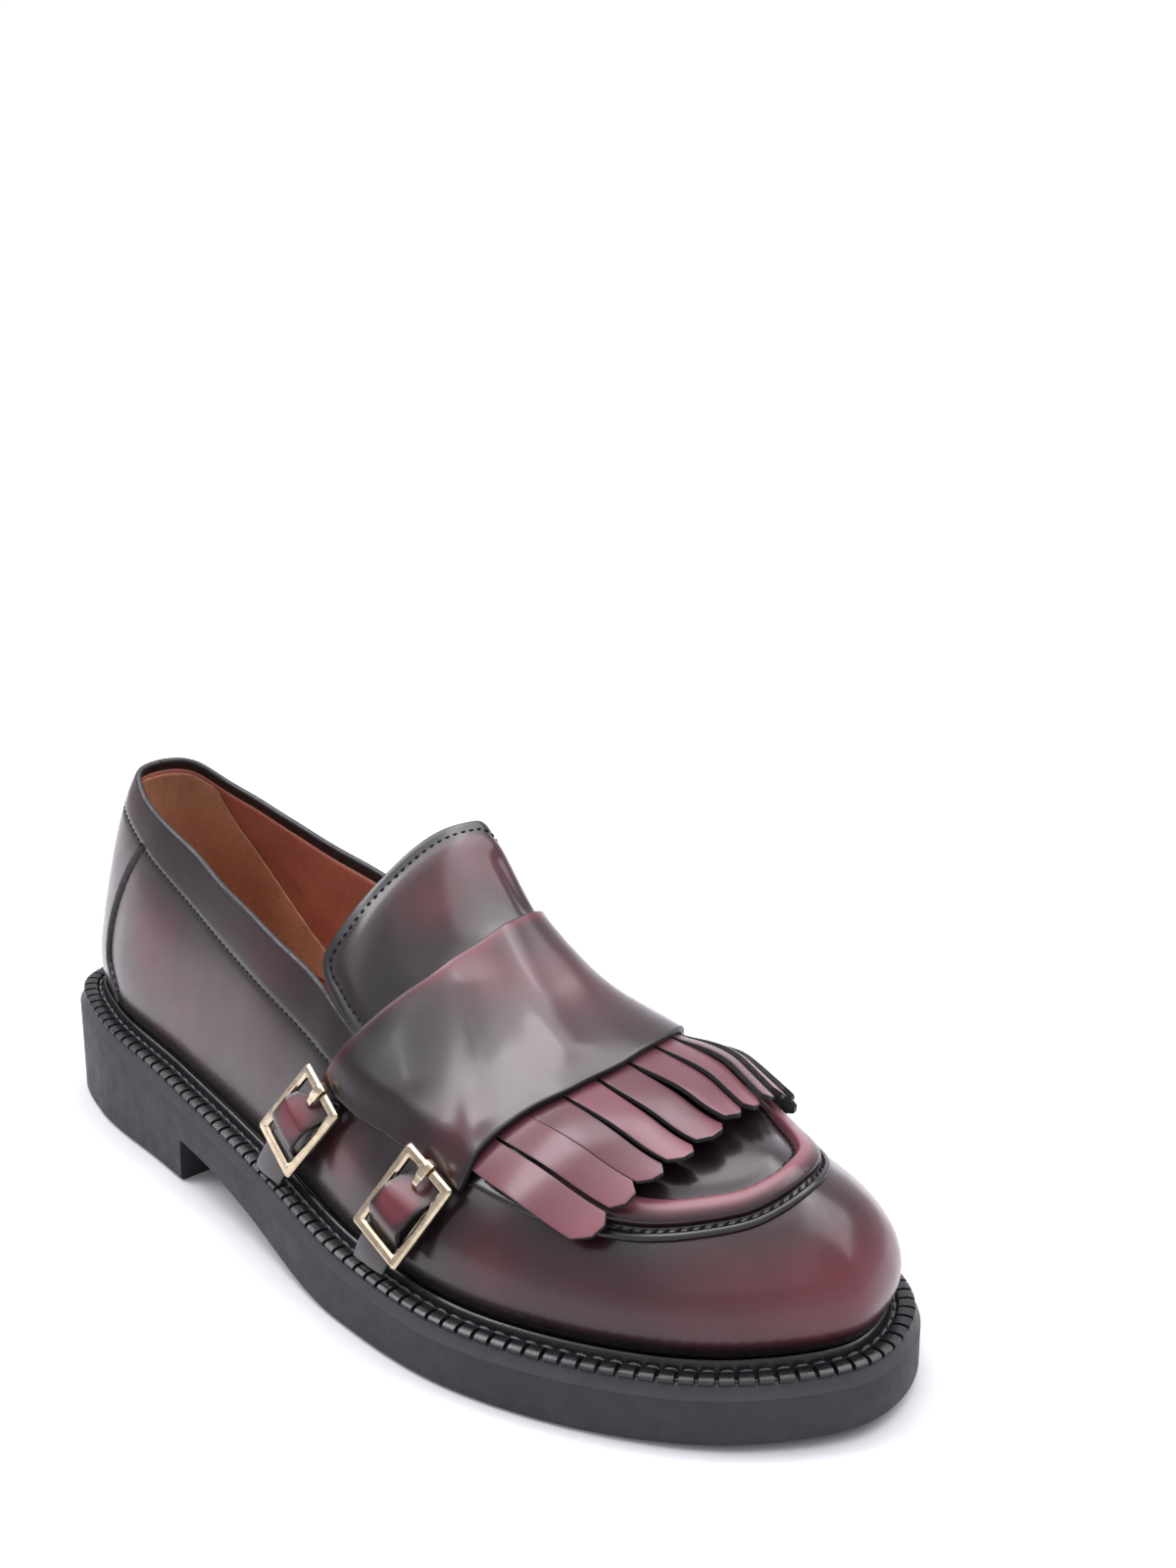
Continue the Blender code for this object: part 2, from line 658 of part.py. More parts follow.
# ---------------------------------------------------------------- fringe and apron
def strip_edge(share, t):
    """Place around and X of the line between two strips, from its root (0) to its tip (1)."""
    root = read(FRINGE, "root_around", share, by="share")
    tip = read(FRINGE, "tip_around", share, by="share")
    start = read(SADDLE_EDGES, "front", root, by="around") - STRIP_TUCK
    return np.array([lerp(root, tip, t), lerp(start, read(FRINGE, "tip_x", share, by="share"), t)])


def make_fringe(last, finish):
    """Cut strips that come out under the saddle's front edge and lift towards their tips."""
    steps = np.linspace(0.0, 1.0, 8)
    for number in range(STRIP_COUNT):
        grid = []
        for t in steps:
            left = strip_edge(number / STRIP_COUNT, t)
            right = strip_edge((number + 1) / STRIP_COUNT, t)
            across = np.array([lerp(left, right, share)
                               for share in (STRIP_SLIT, 0.5, 1.0 - STRIP_SLIT)])
            lift = lerp(STRIP_ROOT_LIFT, STRIP_TIP_LIFT, ease((t - 0.10) / 0.55)) + STRIP_THICK
            around, x = across[:, 0], across[:, 1]
            grid.append(last.raised(last.at_x(x, around), around, np.full(3, lift)))
        grid = np.array(grid)
        grid[-1, 0] = lerp(grid[-1, 0], grid[-2, 0], 0.55)
        grid[-1, 2] = lerp(grid[-1, 2], grid[-2, 2], 0.35)
        add_shell(f"fringe_{number + 1:02d}", grid, STRIP_THICK, finish)


def make_apron_ridge(last, finish):
    """The flange and padded ridge of the hand-sewn moccasin seam."""
    edge = smooth_curve(APRON_EDGE, 4, closed=False)
    run = np.gradient(edge, axis=0)
    run /= np.linalg.norm(run, axis=1)[:, None]
    inward = np.c_[-run[:, 1], run[:, 0]]
    lowest = 0.0005
    profile = (
        (0.0, FLANGE_HEIGHT), (FLANGE_WIDTH, FLANGE_HEIGHT + 0.0002),
        (FLANGE_WIDTH + 0.0012, 0.85 * RIDGE_HEIGHT), (FLANGE_WIDTH + RIDGE_WIDTH / 2, RIDGE_HEIGHT),
        (FLANGE_WIDTH + RIDGE_WIDTH - 0.0012, 0.75 * RIDGE_HEIGHT),
        (FLANGE_WIDTH + RIDGE_WIDTH, lowest), (FLANGE_WIDTH + RIDGE_WIDTH / 2, lowest),
        (FLANGE_WIDTH / 2, lowest), (0.0, lowest))
    rings = []
    ends = np.minimum(np.arange(len(edge)), np.arange(len(edge))[::-1]) / 9.0
    for place, side, share in zip(edge, inward, lerp(0.42, 1.0, ease(ends))):
        ring = []
        for inset, height in profile:
            ground, normal = last.from_above(*(place + side * inset))
            ring.append(ground + normal * lerp(lowest, height, share) if height > lowest
                        else ground + normal * lowest)
        rings.append(ring)
    return add("apron_ridge", tube_mesh("apron_ridge", np.array(rings)), finish)


# ---------------------------------------------------------------- straps and buckles
def strap_middle(last, place, t, lift):
    """A point of a strap's middle line, at a height over the upper."""
    x, z = lerp(place.foot_x, place.top_x, t), lerp(place.foot_z, place.top_z, t)
    held = max(z, welt_top(x) + 0.0010)
    ground, _ = last.from_lateral(x, held)
    _, normal = last.from_lateral(x, max(z, welt_top(x) + 0.0100))
    stand = place.foot_stand * np.clip(1.0 - t, 0.0, 1.0)
    return ground + normal * (lift + stand) + np.array([0.0, 0.0, z - held])


def strap_frame(last, place):
    """Middle of the buckle, and its turn: X across the strap, Y up it, Z outwards."""
    low, high = (Vector(strap_middle(last, place, place.buckle_at + 0.3 * step,
                                     BUCKLE_LIFT + place.tilt / 2.0 * step))
                 for step in (-1.0, 1.0))
    up = (high - low).normalized()
    out = Vector((1.0, place.turn, 0.0)).cross(up).normalized()
    across = up.cross(out)
    return (low + high) / 2.0, Matrix((across, up, out)).transposed()


def make_strap(last, place, finish):
    """A narrow strap from the welt up to the saddle, bulging through its buckle.

    Both of its ends are level, so its sides are out of step with each other.
    """
    turn = strap_frame(last, place)[1]
    across, out = np.array(turn.col[0]), np.array(turn.col[2])
    level = -across[2] / (place.top_z - place.foot_z)

    def point(t, aside):
        t = t + aside * level
        bulge = STRAP_BULGE * ease((0.30 - abs(t - place.buckle_at + 0.02)) / 0.22)
        return (strap_middle(last, place, t, STRAP_LIFT + STRAP_THICK)
                + across * aside + out * bulge)

    sides = np.linspace(-0.5, 0.5, 4) * STRAP_WIDTH
    rows = [[point(t, aside) for aside in sides] for t in np.linspace(0.0, 1.0, 15)]
    return add_shell(f"strap_{place.name}", np.array(rows), STRAP_THICK, finish)


def make_buckle(last, place, finish):
    """A flat rectangular frame with rounded edges, and its prong on the upper bar."""
    centre, turn = strap_frame(last, place)
    rings = []
    half_w, half_l = BUCKLE_WIDTH / 2.0, BUCKLE_LENGTH / 2.0
    section = [(BUCKLE_BAR / 2.0 * math.cos(a), BUCKLE_DEPTH / 2.0 * math.sin(a))
               for a in np.linspace(0.0, 2.0 * np.pi, 8, endpoint=False) + np.pi / 8.0]
    for x, y in ((-1, -1), (0, -1), (1, -1), (1, 0), (1, 1), (0, 1), (-1, 1), (-1, 0)):
        ring = []
        for out, up in section:
            corner = Vector((x * (half_w - BUCKLE_BAR / 2.0 + out),
                             y * (half_l - BUCKLE_BAR / 2.0 + out), up))
            ring.append(tuple(centre + turn @ corner))
        rings.append(ring)
    add(f"buckle_{place.name}", tube_mesh(f"buckle_{place.name}", np.array(rings), True), finish)
    make_prong(place, centre, turn, finish)


class ProngStation(NamedTuple):
    """The prong's path along the strap and out of the buckle, with its half width."""
    along: float
    out: float
    half_width: float


def make_prong(place, centre, turn, finish):
    """A flat prong folded over the upper bar, with a short tip over the strap."""
    side = BUCKLE_BAR / 2.0 + GAP + PRONG_THICK / 2.0
    top = BUCKLE_DEPTH / 2.0 + GAP + PRONG_THICK / 2.0
    path = (
        ProngStation(side, -0.0003, 0.0013), ProngStation(side, top - 0.0004, 0.0013),
        ProngStation(side - 0.0004, top, 0.0013), ProngStation(-side + 0.0002, top, 0.0013),
        ProngStation(-side - 0.0004, top - 0.0001, 0.0009),
        ProngStation(-side - PRONG_LENGTH, top - 0.0001, 0.0008))
    bar = BUCKLE_LENGTH / 2.0 - BUCKLE_BAR / 2.0
    points = np.array([(row.along + bar, row.out) for row in path])
    run = np.gradient(points, axis=0)
    run /= np.linalg.norm(run, axis=1)[:, None]
    rings = []
    for row, place_on, step in zip(path, points, run):
        off = np.array([-step[1], step[0]]) * PRONG_THICK / 2.0
        corners = ((-1, -1), (1, -1), (1, 1), (-1, 1))
        rings.append([tuple(centre + turn @ Vector((x * row.half_width, *(place_on + y * off))))
                      for x, y in corners])
    name = f"prong_{place.name}"
    add(name, tube_mesh(name, np.array(rings)), finish)


# ---------------------------------------------------------------- the shoe
for thing in list(bpy.data.objects):
    bpy.data.objects.remove(thing, do_unlink=True)

OUTLINE = Plan(0.0)
MIDDLE_Y = (OUTLINE.loop[:, 1].min() + OUTLINE.loop[:, 1].max()) / 2.0
SHOE = bpy.data.collections.new("fringed_moccasin")
bpy.context.scene.collection.children.link(SHOE)


def main():
    rubber = material("rubber", (0.030, 0.030, 0.032), 0.75)
    welt_rubber = material("welt_rubber", (0.020, 0.020, 0.022), 0.40)
    leather = material("brushed_leather", (0.090, 0.016, 0.020), 0.22)
    strip_leather = material("fringe_leather", (0.240, 0.080, 0.090), 0.25)
    lining = material("tan_lining", (0.420, 0.130, 0.045), 0.55)
    gold = material("pale_gold", (0.800, 0.660, 0.450), 0.22, metallic=1.0)

    last = Last()
    make_outsole(rubber)
    make_welt(welt_rubber)
    make_insole(lining)
    make_upper(last, leather)
    make_tongue(last, leather)
    make_saddle(last, leather)
    make_fringe(last, strip_leather)
    make_apron_ridge(last, leather)
    for place in STRAPS:
        make_strap(last, place, leather)
        make_buckle(last, place, gold)


main()
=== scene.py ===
"""A fringed moccasin loafer for the right foot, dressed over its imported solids.

Metres, +Z up, +X towards the toe, -Y towards the outer (lateral) side with its two
buckled straps. Shapes are worked out on the last, with X measured from the back of
the heel, and every piece is then set over the middle of the shoe.

The upper's form is one function, Last.point(along, around): `along` runs from the
heel (0) to the toe (1), `around` from the lateral feather edge (-1) over the ridge of
the foot (0) to the medial feather edge (1). Leather pieces are grids laid out on it.
"""

import logging
import math
from dataclasses import dataclass
from enum import Enum
from typing import NamedTuple, Sequence

import bmesh
import bpy
import numpy as np
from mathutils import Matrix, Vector


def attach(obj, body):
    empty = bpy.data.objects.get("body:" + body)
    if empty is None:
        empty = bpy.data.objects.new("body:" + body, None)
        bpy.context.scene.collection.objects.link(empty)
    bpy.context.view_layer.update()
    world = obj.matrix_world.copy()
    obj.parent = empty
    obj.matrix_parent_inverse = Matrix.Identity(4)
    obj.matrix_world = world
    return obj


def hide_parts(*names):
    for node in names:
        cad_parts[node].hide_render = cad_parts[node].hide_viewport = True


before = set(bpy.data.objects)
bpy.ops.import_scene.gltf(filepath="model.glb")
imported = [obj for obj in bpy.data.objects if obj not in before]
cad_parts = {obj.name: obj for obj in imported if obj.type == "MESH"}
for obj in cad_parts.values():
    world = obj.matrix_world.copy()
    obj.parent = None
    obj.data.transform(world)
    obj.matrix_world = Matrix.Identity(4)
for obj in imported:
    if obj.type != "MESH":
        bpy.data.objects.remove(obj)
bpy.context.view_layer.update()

LOG = logging.getLogger("fringed_moccasin")
Array = np.ndarray
Triple = tuple[float, float, float]
Pair = tuple[Array, Array]
Socket = bpy.types.NodeSocket
Material = bpy.types.Material
Thing = bpy.types.Object


# ---- sizes and tables
@dataclass(frozen=True)
class ShoeSizes:
    """Sizes that several sub-assemblies work from, in metres."""

    length: float = 0.282
    gap: float = 0.0003
    wall: float = 0.0020
    feather_inset: float = 0.0085
    heel_anchor: float = 0.040
    toe_anchor: float = 0.236
    throat: float = 0.153
    welt_thick: float = 0.0042
    welt_width: float = 0.0110
    insole_thick: float = 0.0030


SIZES = ShoeSizes()


class Edge(NamedTuple):
    """A point of a line seen from above."""

    x: float
    y: float


LATERAL_EDGE = (
    Edge(0.000, -0.0020), Edge(0.005, -0.0220), Edge(0.030, -0.0335), Edge(0.071, -0.0390),
    Edge(0.119, -0.0455), Edge(0.165, -0.0535), Edge(0.204, -0.0535), Edge(0.243, -0.0405),
    Edge(0.268, -0.0225))
TOE_EDGE = Edge(SIZES.length, 0.0020)
MEDIAL_EDGE = (
    Edge(0.2750, 0.0267), Edge(0.252, 0.0428), Edge(0.210, 0.0490), Edge(0.170, 0.0430),
    Edge(0.125, 0.0335), Edge(0.070, 0.0330), Edge(0.030, 0.0325), Edge(0.006, 0.0210))


class Level(NamedTuple):
    """A height at a place along the shoe."""

    x: float
    z: float


WELT_LEVELS = (
    Level(0.000, 0.0325), Level(0.050, 0.0290), Level(0.090, 0.0250), Level(0.130, 0.0205),
    Level(0.170, 0.0170), Level(0.210, 0.0155), Level(0.250, 0.0160), Level(0.282, 0.0175))
TOPLINE = (
    Level(0.012, 0.1030), Level(0.021, 0.0985), Level(0.034, 0.0918), Level(0.048, 0.0880),
    Level(0.062, 0.0845), Level(0.078, 0.0800), Level(0.095, 0.0768), Level(0.110, 0.0733),
    Level(0.125, 0.0695), Level(0.150, 0.0600))
COLLAR_SEAM = (
    Level(0.012, 0.0895), Level(0.022, 0.0861), Level(0.032, 0.0824), Level(0.043, 0.0785),
    Level(0.055, 0.0747), Level(0.072, 0.0699), Level(0.091, 0.0652), Level(0.105, 0.0619),
    Level(0.116, 0.0592), Level(0.130, 0.0557), Level(0.150, 0.0503))


class Section(NamedTuple):
    """One cross-section of the last.

    crest and ridge are the height and the sideways place of its highest line, crown and
    flank the roundness of its top and its sides, bulge_lateral and bulge_medial how far
    the sides stand out past the feather, and belly how far up they do so.
    """

    x: float
    crest: float
    ridge: float
    crown: float
    flank: float
    bulge_lateral: float
    bulge_medial: float
    belly: float


SECTIONS = (
    Section(0.008, 0.1200, 0.000, 2.10, 1.87, 0.0020, 0.0020, 0.11),
    Section(0.060, 0.1045, 0.001, 2.00, 1.85, 0.0018, 0.0018, 0.18),
    Section(0.100, 0.1095, 0.010, 2.00, 1.85, 0.0010, 0.0010, 0.20),
    Section(0.135, 0.1040, 0.016, 2.00, 1.60, 0.0010, 0.0010, 0.25),
    Section(0.160, 0.0817, 0.011, 2.00, 1.55, 0.0020, 0.0010, 0.25),
    Section(0.185, 0.0683, 0.009, 2.00, 1.58, 0.0030, 0.0020, 0.31),
    Section(0.210, 0.0628, 0.007, 2.10, 1.92, 0.0030, 0.0028, 0.34),
    Section(0.240, 0.0525, 0.006, 2.20, 2.30, 0.0035, 0.0045, 0.38),
    Section(0.274, 0.0555, 0.003, 2.20, 2.60, 0.0040, 0.0046, 0.34))


# ---- curves
def column(table: Sequence, name: str) -> Array:
    """One named column of a table."""
    return np.array([getattr(row, name) for row in table])


def read(table: Sequence, name: str, at: Array | float, by: str = "x") -> Array:
    """A table's column, read smoothly between its rows and without overshoot.

    Args:
        table: rows in rising order of the column `by`.
        name: the column to read.
        at: places to read it at.
        by: the column that the places refer to.

    Returns:
        The values at those places.
    """
    knots, values = column(table, by), column(table, name)
    steps = np.diff(knots)
    slopes = np.diff(values) / steps
    tangents = np.zeros_like(values)
    tangents[0], tangents[-1] = slopes[0], slopes[-1]
    for i in range(1, len(knots) - 1):
        if slopes[i - 1] * slopes[i] > 0.0:
            ahead = 2.0 * steps[i] + steps[i - 1]
            behind = steps[i] + 2.0 * steps[i - 1]
            tangents[i] = (ahead + behind) / (ahead / slopes[i - 1] + behind / slopes[i])
    where = np.clip(np.asarray(at, float), knots[0], knots[-1])
    i = np.clip(np.searchsorted(knots, where) - 1, 0, len(knots) - 2)
    t = (where - knots[i]) / steps[i]
    return ((2 * t**3 - 3 * t**2 + 1) * values[i] + (t**3 - 2 * t**2 + t) * steps[i] * tangents[i]
            + (3 * t**2 - 2 * t**3) * values[i + 1] + (t**3 - t**2) * steps[i] * tangents[i + 1])


def smooth_curve(points: Sequence, per_span: int, closed: bool = False) -> Array:
    """A centripetal Catmull-Rom curve through points.

    Args:
        points: the points it passes through.
        per_span: steps between one point and the next.
        closed: whether it returns to its first point.

    Returns:
        The curve's points.
    """
    p = np.array(points, float)
    count = len(p)
    pieces = []
    for i in range(count if closed else count - 1):
        b, c = p[i], p[(i + 1) % count]
        a = p[i - 1] if closed or i > 0 else 2 * b - c
        d = p[(i + 2) % count] if closed or i + 2 < count else 2 * c - b
        t1 = np.linalg.norm(b - a) ** 0.5
        t2 = t1 + np.linalg.norm(c - b) ** 0.5
        t3 = t2 + np.linalg.norm(d - c) ** 0.5
        t = np.linspace(t1, t2, per_span, endpoint=False)[:, None]
        ab = (t1 - t) / t1 * a + t / t1 * b
        bc = (t2 - t) / (t2 - t1) * b + (t - t1) / (t2 - t1) * c
        cd = (t3 - t) / (t3 - t2) * c + (t - t2) / (t3 - t2) * d
        abc = (t2 - t) / t2 * ab + t / t2 * bc
        bcd = (t3 - t) / (t3 - t1) * bc + (t - t1) / (t3 - t1) * cd
        pieces.append((t2 - t) / (t2 - t1) * abc + (t - t1) / (t2 - t1) * bcd)
    if not closed:
        pieces.append(p[-1:])
    return np.vstack(pieces)


def ease(t: Array | float) -> Array:
    """A soft step from 0 to 1."""
    t = np.clip(t, 0.0, 1.0)
    return t * t * (3.0 - 2.0 * t)


def lerp(a: Array | float, b: Array | float, t: Array | float) -> Array:
    """The value a share t of the way from a to b."""
    return a + (b - a) * t


def bell(distance: Array, width: float) -> Array:
    """1 at no distance, fading softly over a width."""
    return np.exp(-(distance / width) ** 2)


def unit(v: Array) -> Array:
    """Vectors of length 1."""
    return v / np.maximum(np.linalg.norm(v, axis=-1), 1e-12)[..., None]


def even(count: int) -> Array:
    """Evenly spaced shares from 0 to 1."""
    return np.linspace(0.0, 1.0, count)


def round_stations(count: int) -> Array:
    """Shares from 0 to 1 that crowd together at both ends, where the plan is round."""
    return (1.0 - np.cos(np.pi * even(count))) / 2.0


def run_along(points: Array) -> Array:
    """The length walked along a line at each of its points."""
    return np.r_[0.0, np.cumsum(np.linalg.norm(np.diff(points, axis=0), axis=1))]


def resample(points: Array, at: Array) -> Array:
    """Points of a line at given lengths along it."""
    run = run_along(points)
    return np.stack([np.interp(at, run, points[:, k]) for k in range(points.shape[1])], axis=1)


def nearest(points: Array, wanted: Array) -> list[int]:
    """For each wanted point, the number of the nearest of some points."""
    return [((points - place) ** 2).sum(axis=1).argmin() for place in wanted]


def evened(directions: Array, times: int) -> Array:
    """Directions round a loop, evened out with their neighbours.

    Args:
        directions: unit directions.
        times: how often that is done.

    Returns:
        The new directions.
    """
    for _ in range(times):
        directions = unit(directions + np.roll(directions, 1, axis=0) + np.roll(directions, -1, axis=0))
    return directions


def distance_to_line(points: Array, line: Array) -> Array:
    """Shortest distance from each point to a line of short straight steps.

    Args:
        points: (n, d) points.
        line: (m, d) points of the line.

    Returns:
        (n,) distances.
    """
    best = np.full(len(points), np.inf)
    for a, b in zip(line[:-1], line[1:]):
        step = b - a
        t = np.clip((points - a) @ step / max(step @ step, 1e-18), 0.0, 1.0)
        best = np.minimum(best, np.linalg.norm(points - a - t[:, None] * step, axis=1))
    return best


def inside(points: Array, ring: Array) -> Array:
    """Whether points seen from above lie inside a ring.

    Args:
        points: (n, 2) points.
        ring: (m, 2) corners of the ring.

    Returns:
        (n,) truth values.
    """
    found = np.zeros(len(points), bool)
    for a, b in zip(ring, np.roll(ring, -1, axis=0)):
        crosses = (a[1] > points[:, 1]) != (b[1] > points[:, 1])
        level = np.where(crosses, (points[:, 1] - a[1]) / (b[1] - a[1] + 1e-12), 0.0)
        found ^= crosses & (points[:, 0] < a[0] + level * (b[0] - a[0]))
    return found


class Outline:
    """The sole's outline from above, moved inwards by a distance."""

    SPAN_STEPS = 120

    def __init__(self, inset: float) -> None:
        """Lays the outline out.

        Args:
            inset: how far inside the sole's edge it runs.
        """
        edge = smooth_curve(LATERAL_EDGE + (TOE_EDGE,) + MEDIAL_EDGE, self.SPAN_STEPS, closed=True)
        run = unit(np.roll(edge, -1, axis=0) - np.roll(edge, 1, axis=0))
        edge = edge + inset * np.c_[-run[:, 1], run[:, 0]]
        edge = np.roll(edge, -edge[:, 0].argmin(), axis=0)
        toe = edge[:, 0].argmax()
        self.loop = edge
        self.start, self.end = edge[0, 0], edge[toe, 0]
        self.halves = {-1: edge[:toe + 1], 1: np.vstack([edge[toe:], edge[:1]])[::-1]}

    def by_length(self, side: int, share: Array) -> Array:
        """The point a share of the way round one side, from the heel to the toe."""
        half = self.halves[side]
        return resample(half, np.asarray(share) * run_along(half)[-1])

    def by_x(self, side: int, share: Array) -> Array:
        """The point on one side at a share of the outline's length along X."""
        half, x = self.halves[side], lerp(self.start, self.end, np.asarray(share, float))
        return np.c_[x, np.interp(x, half[:, 0], half[:, 1])]


SOLE_EDGE = Outline(0.0)
MIDDLE_Y = (SOLE_EDGE.loop[:, 1].min() + SOLE_EDGE.loop[:, 1].max()) / 2.0


def welt_top(x: Array | float) -> Array:
    """Height of the welt's top above the ground."""
    return read(WELT_LEVELS, "z", x)


# ---- the last
class Last:
    """The outer form of the upper."""

    STEP = 1e-4         # between places whose difference gives a direction
    STRIDE = 0.03       # the most that one step of a search moves
    HALVINGS = 32
    EVEN_END = 0.06     # share of the length at both ends where the sides turn alike
    STEEP = 0.93        # past this the sides are too steep to be found from above

    def __init__(self) -> None:
        """Lays out the feather edge and a coarse net of places to start searches from."""
        self.feather = Outline(SIZES.feather_inset)
        shares = even(161)
        around = np.linspace(-0.995, 0.995, 160)
        self.coarse = np.stack(np.meshgrid(shares, around, indexing="ij"), axis=-1).reshape(-1, 2)
        self.coarse_points = self.point(self.coarse[:, 0], self.coarse[:, 1])

    def point(self, along: Array, around: Array) -> Array:
        """Points of the surface.

        Args:
            along: shares from the heel (0) to the toe (1).
            around: places from the lateral feather edge (-1) to the medial one (1).

        Returns:
            The points, in the arguments' common shape.
        """
        along, around = np.broadcast_arrays(np.asarray(along, float), np.asarray(around, float))
        shape = along.shape
        along, around = along.ravel(), around.ravel()
        lateral = self.feather.by_length(-1, along)
        medial = self.feather.by_length(1, along)
        middle = (lateral[:, 0] + medial[:, 0]) / 2.0
        share = (middle - self.feather.start) / (self.feather.end - self.feather.start)
        ridge_x = lerp(SIZES.heel_anchor, SIZES.toe_anchor, share)
        ridge = np.c_[ridge_x, read(SECTIONS, "ridge", ridge_x)]
        outer = around < 0.0
        foot = np.where(outer[:, None], lateral, medial)
        turn = (1.0 - np.abs(around)) * np.pi / 2.0
        inward = 1.0 - np.cos(turn) ** (2.0 / read(SECTIONS, "crown", middle))
        rise = np.sin(turn) ** (2.0 / read(SECTIONS, "flank", middle))
        bulges = read(SECTIONS, "bulge_lateral", middle), read(SECTIONS, "bulge_medial", middle)
        apart = ease(np.minimum(along, 1.0 - along) / self.EVEN_END)
        bulge = lerp((bulges[0] + bulges[1]) / 2.0, np.where(outer, *bulges), apart)
        belly = read(SECTIONS, "belly", middle)
        hump = rise / belly * ((1.0 - rise) / (1.0 - belly)) ** ((1.0 - belly) / belly)
        reach = ridge - foot
        width = np.linalg.norm(reach, axis=1)
        plan = foot + reach / width[:, None] * (width * inward - bulge * hump)[:, None]
        base = welt_top(foot[:, 0]) + SIZES.gap
        height = base + (read(SECTIONS, "crest", plan[:, 0]) - base) * rise
        return np.c_[plan, height].reshape(shape + (3,))

    def normal(self, along: Array, around: Array) -> Array:
        """Outward unit normals of the surface.

        Args:
            along: shares along the last.
            around: places around it.

        Returns:
            The normals, in the arguments' common shape.
        """
        step = self.STEP
        along, around = np.broadcast_arrays(np.asarray(along, float), np.asarray(around, float))
        a0, a1 = np.clip(along - step, 0.0, 1.0), np.clip(along + step, 0.0, 1.0)
        side = np.where(around < 0.0, -1.0, 1.0)
        far = np.clip(np.abs(around) + step, 0.0, 1.0) * side
        near = np.clip(np.abs(around) - step, 1e-6, 1.0) * side
        to_medial = (self.point(along, far) - self.point(along, near)) * side[..., None]
        ahead = self.point(a1, around) - self.point(a0, around)
        return unit(np.cross(ahead, to_medial))

    def raised(self, along: Array, around: Array, lift: Array | float) -> Array:
        """Points at a height above the surface."""
        lift = np.broadcast_to(np.asarray(lift, float), np.broadcast(along, around).shape)
        return self.point(along, around) + self.normal(along, around) * lift[..., None]

    def at_x(self, x: Array, around: Array) -> Array:
        """The share along the last at which a place around it lies at X.

        Args:
            x: the wanted X.
            around: the places around.

        Returns:
            The shares, in the arguments' common shape.
        """
        x, around = np.broadcast_arrays(np.asarray(x, float), np.asarray(around, float))
        low, high = np.zeros(x.shape), np.ones(x.shape)
        for _ in range(self.HALVINGS):
            middle = (low + high) / 2.0
            behind = self.point(middle, around)[..., 0] < x
            low, high = np.where(behind, middle, low), np.where(behind, high, middle)
        return (low + high) / 2.0

    def level_around(self, along: Array, side: int, levels: Sequence[Level],
                     drop: float = 0.0) -> Array:
        """How far around a line of given heights lies, on one side.

        Args:
            along: shares along the last.
            side: -1 for lateral, 1 for medial.
            levels: the line's height by X.
            drop: distance below that height.

        Returns:
            Places around, all positive.
        """
        low, high = np.full(len(along), 1.0), np.full(len(along), 0.05)
        for _ in range(self.HALVINGS):
            middle = (low + high) / 2.0
            place = self.point(along, side * middle)
            below = place[:, 2] < read(levels, "z", place[:, 0]) - drop
            low, high = np.where(below, middle, low), np.where(below, high, middle)
        return (low + high) / 2.0

    def find(self, wanted: Array, axes: tuple[int, int], side: int = 0) -> Pair:
        """Places on the last that have two given coordinates.

        Args:
            wanted: (n, 2) coordinates.
            axes: which of X, Y and Z they are.
            side: -1 or 1 to stay on one side of the ridge, or 0 for either.

        Returns:
            The shares along and the places around.
        """
        wanted = np.atleast_2d(np.asarray(wanted, float))
        usable = np.ones(len(self.coarse), bool) if side == 0 else self.coarse[:, 1] * side > 0.0
        if axes == (0, 1):
            usable &= np.abs(self.coarse[:, 1]) < self.STEEP
        known, places = self.coarse_points[usable][:, axes], self.coarse[usable]
        along, around = places[nearest(known, wanted)].T.copy()
        step = self.STEP
        for _ in range(10):
            here = self.point(along, around)[:, axes]
            by_along = (self.point(along + step, around)[:, axes] - here) / step
            by_around = (self.point(along, around + step)[:, axes] - here) / step
            miss = wanted - here
            area = by_along[:, 0] * by_around[:, 1] - by_along[:, 1] * by_around[:, 0]
            area = np.where(np.abs(area) < 1e-9, 1e-9, area)
            more = (miss[:, 0] * by_around[:, 1] - miss[:, 1] * by_around[:, 0]) / area
            turn = (by_along[:, 0] * miss[:, 1] - by_along[:, 1] * miss[:, 0]) / area
            along = np.clip(along + np.clip(more, -self.STRIDE, self.STRIDE), 0.001, 0.999)
            around = np.clip(around + np.clip(turn, -self.STRIDE, self.STRIDE), -0.998, 0.998)
        return along, around


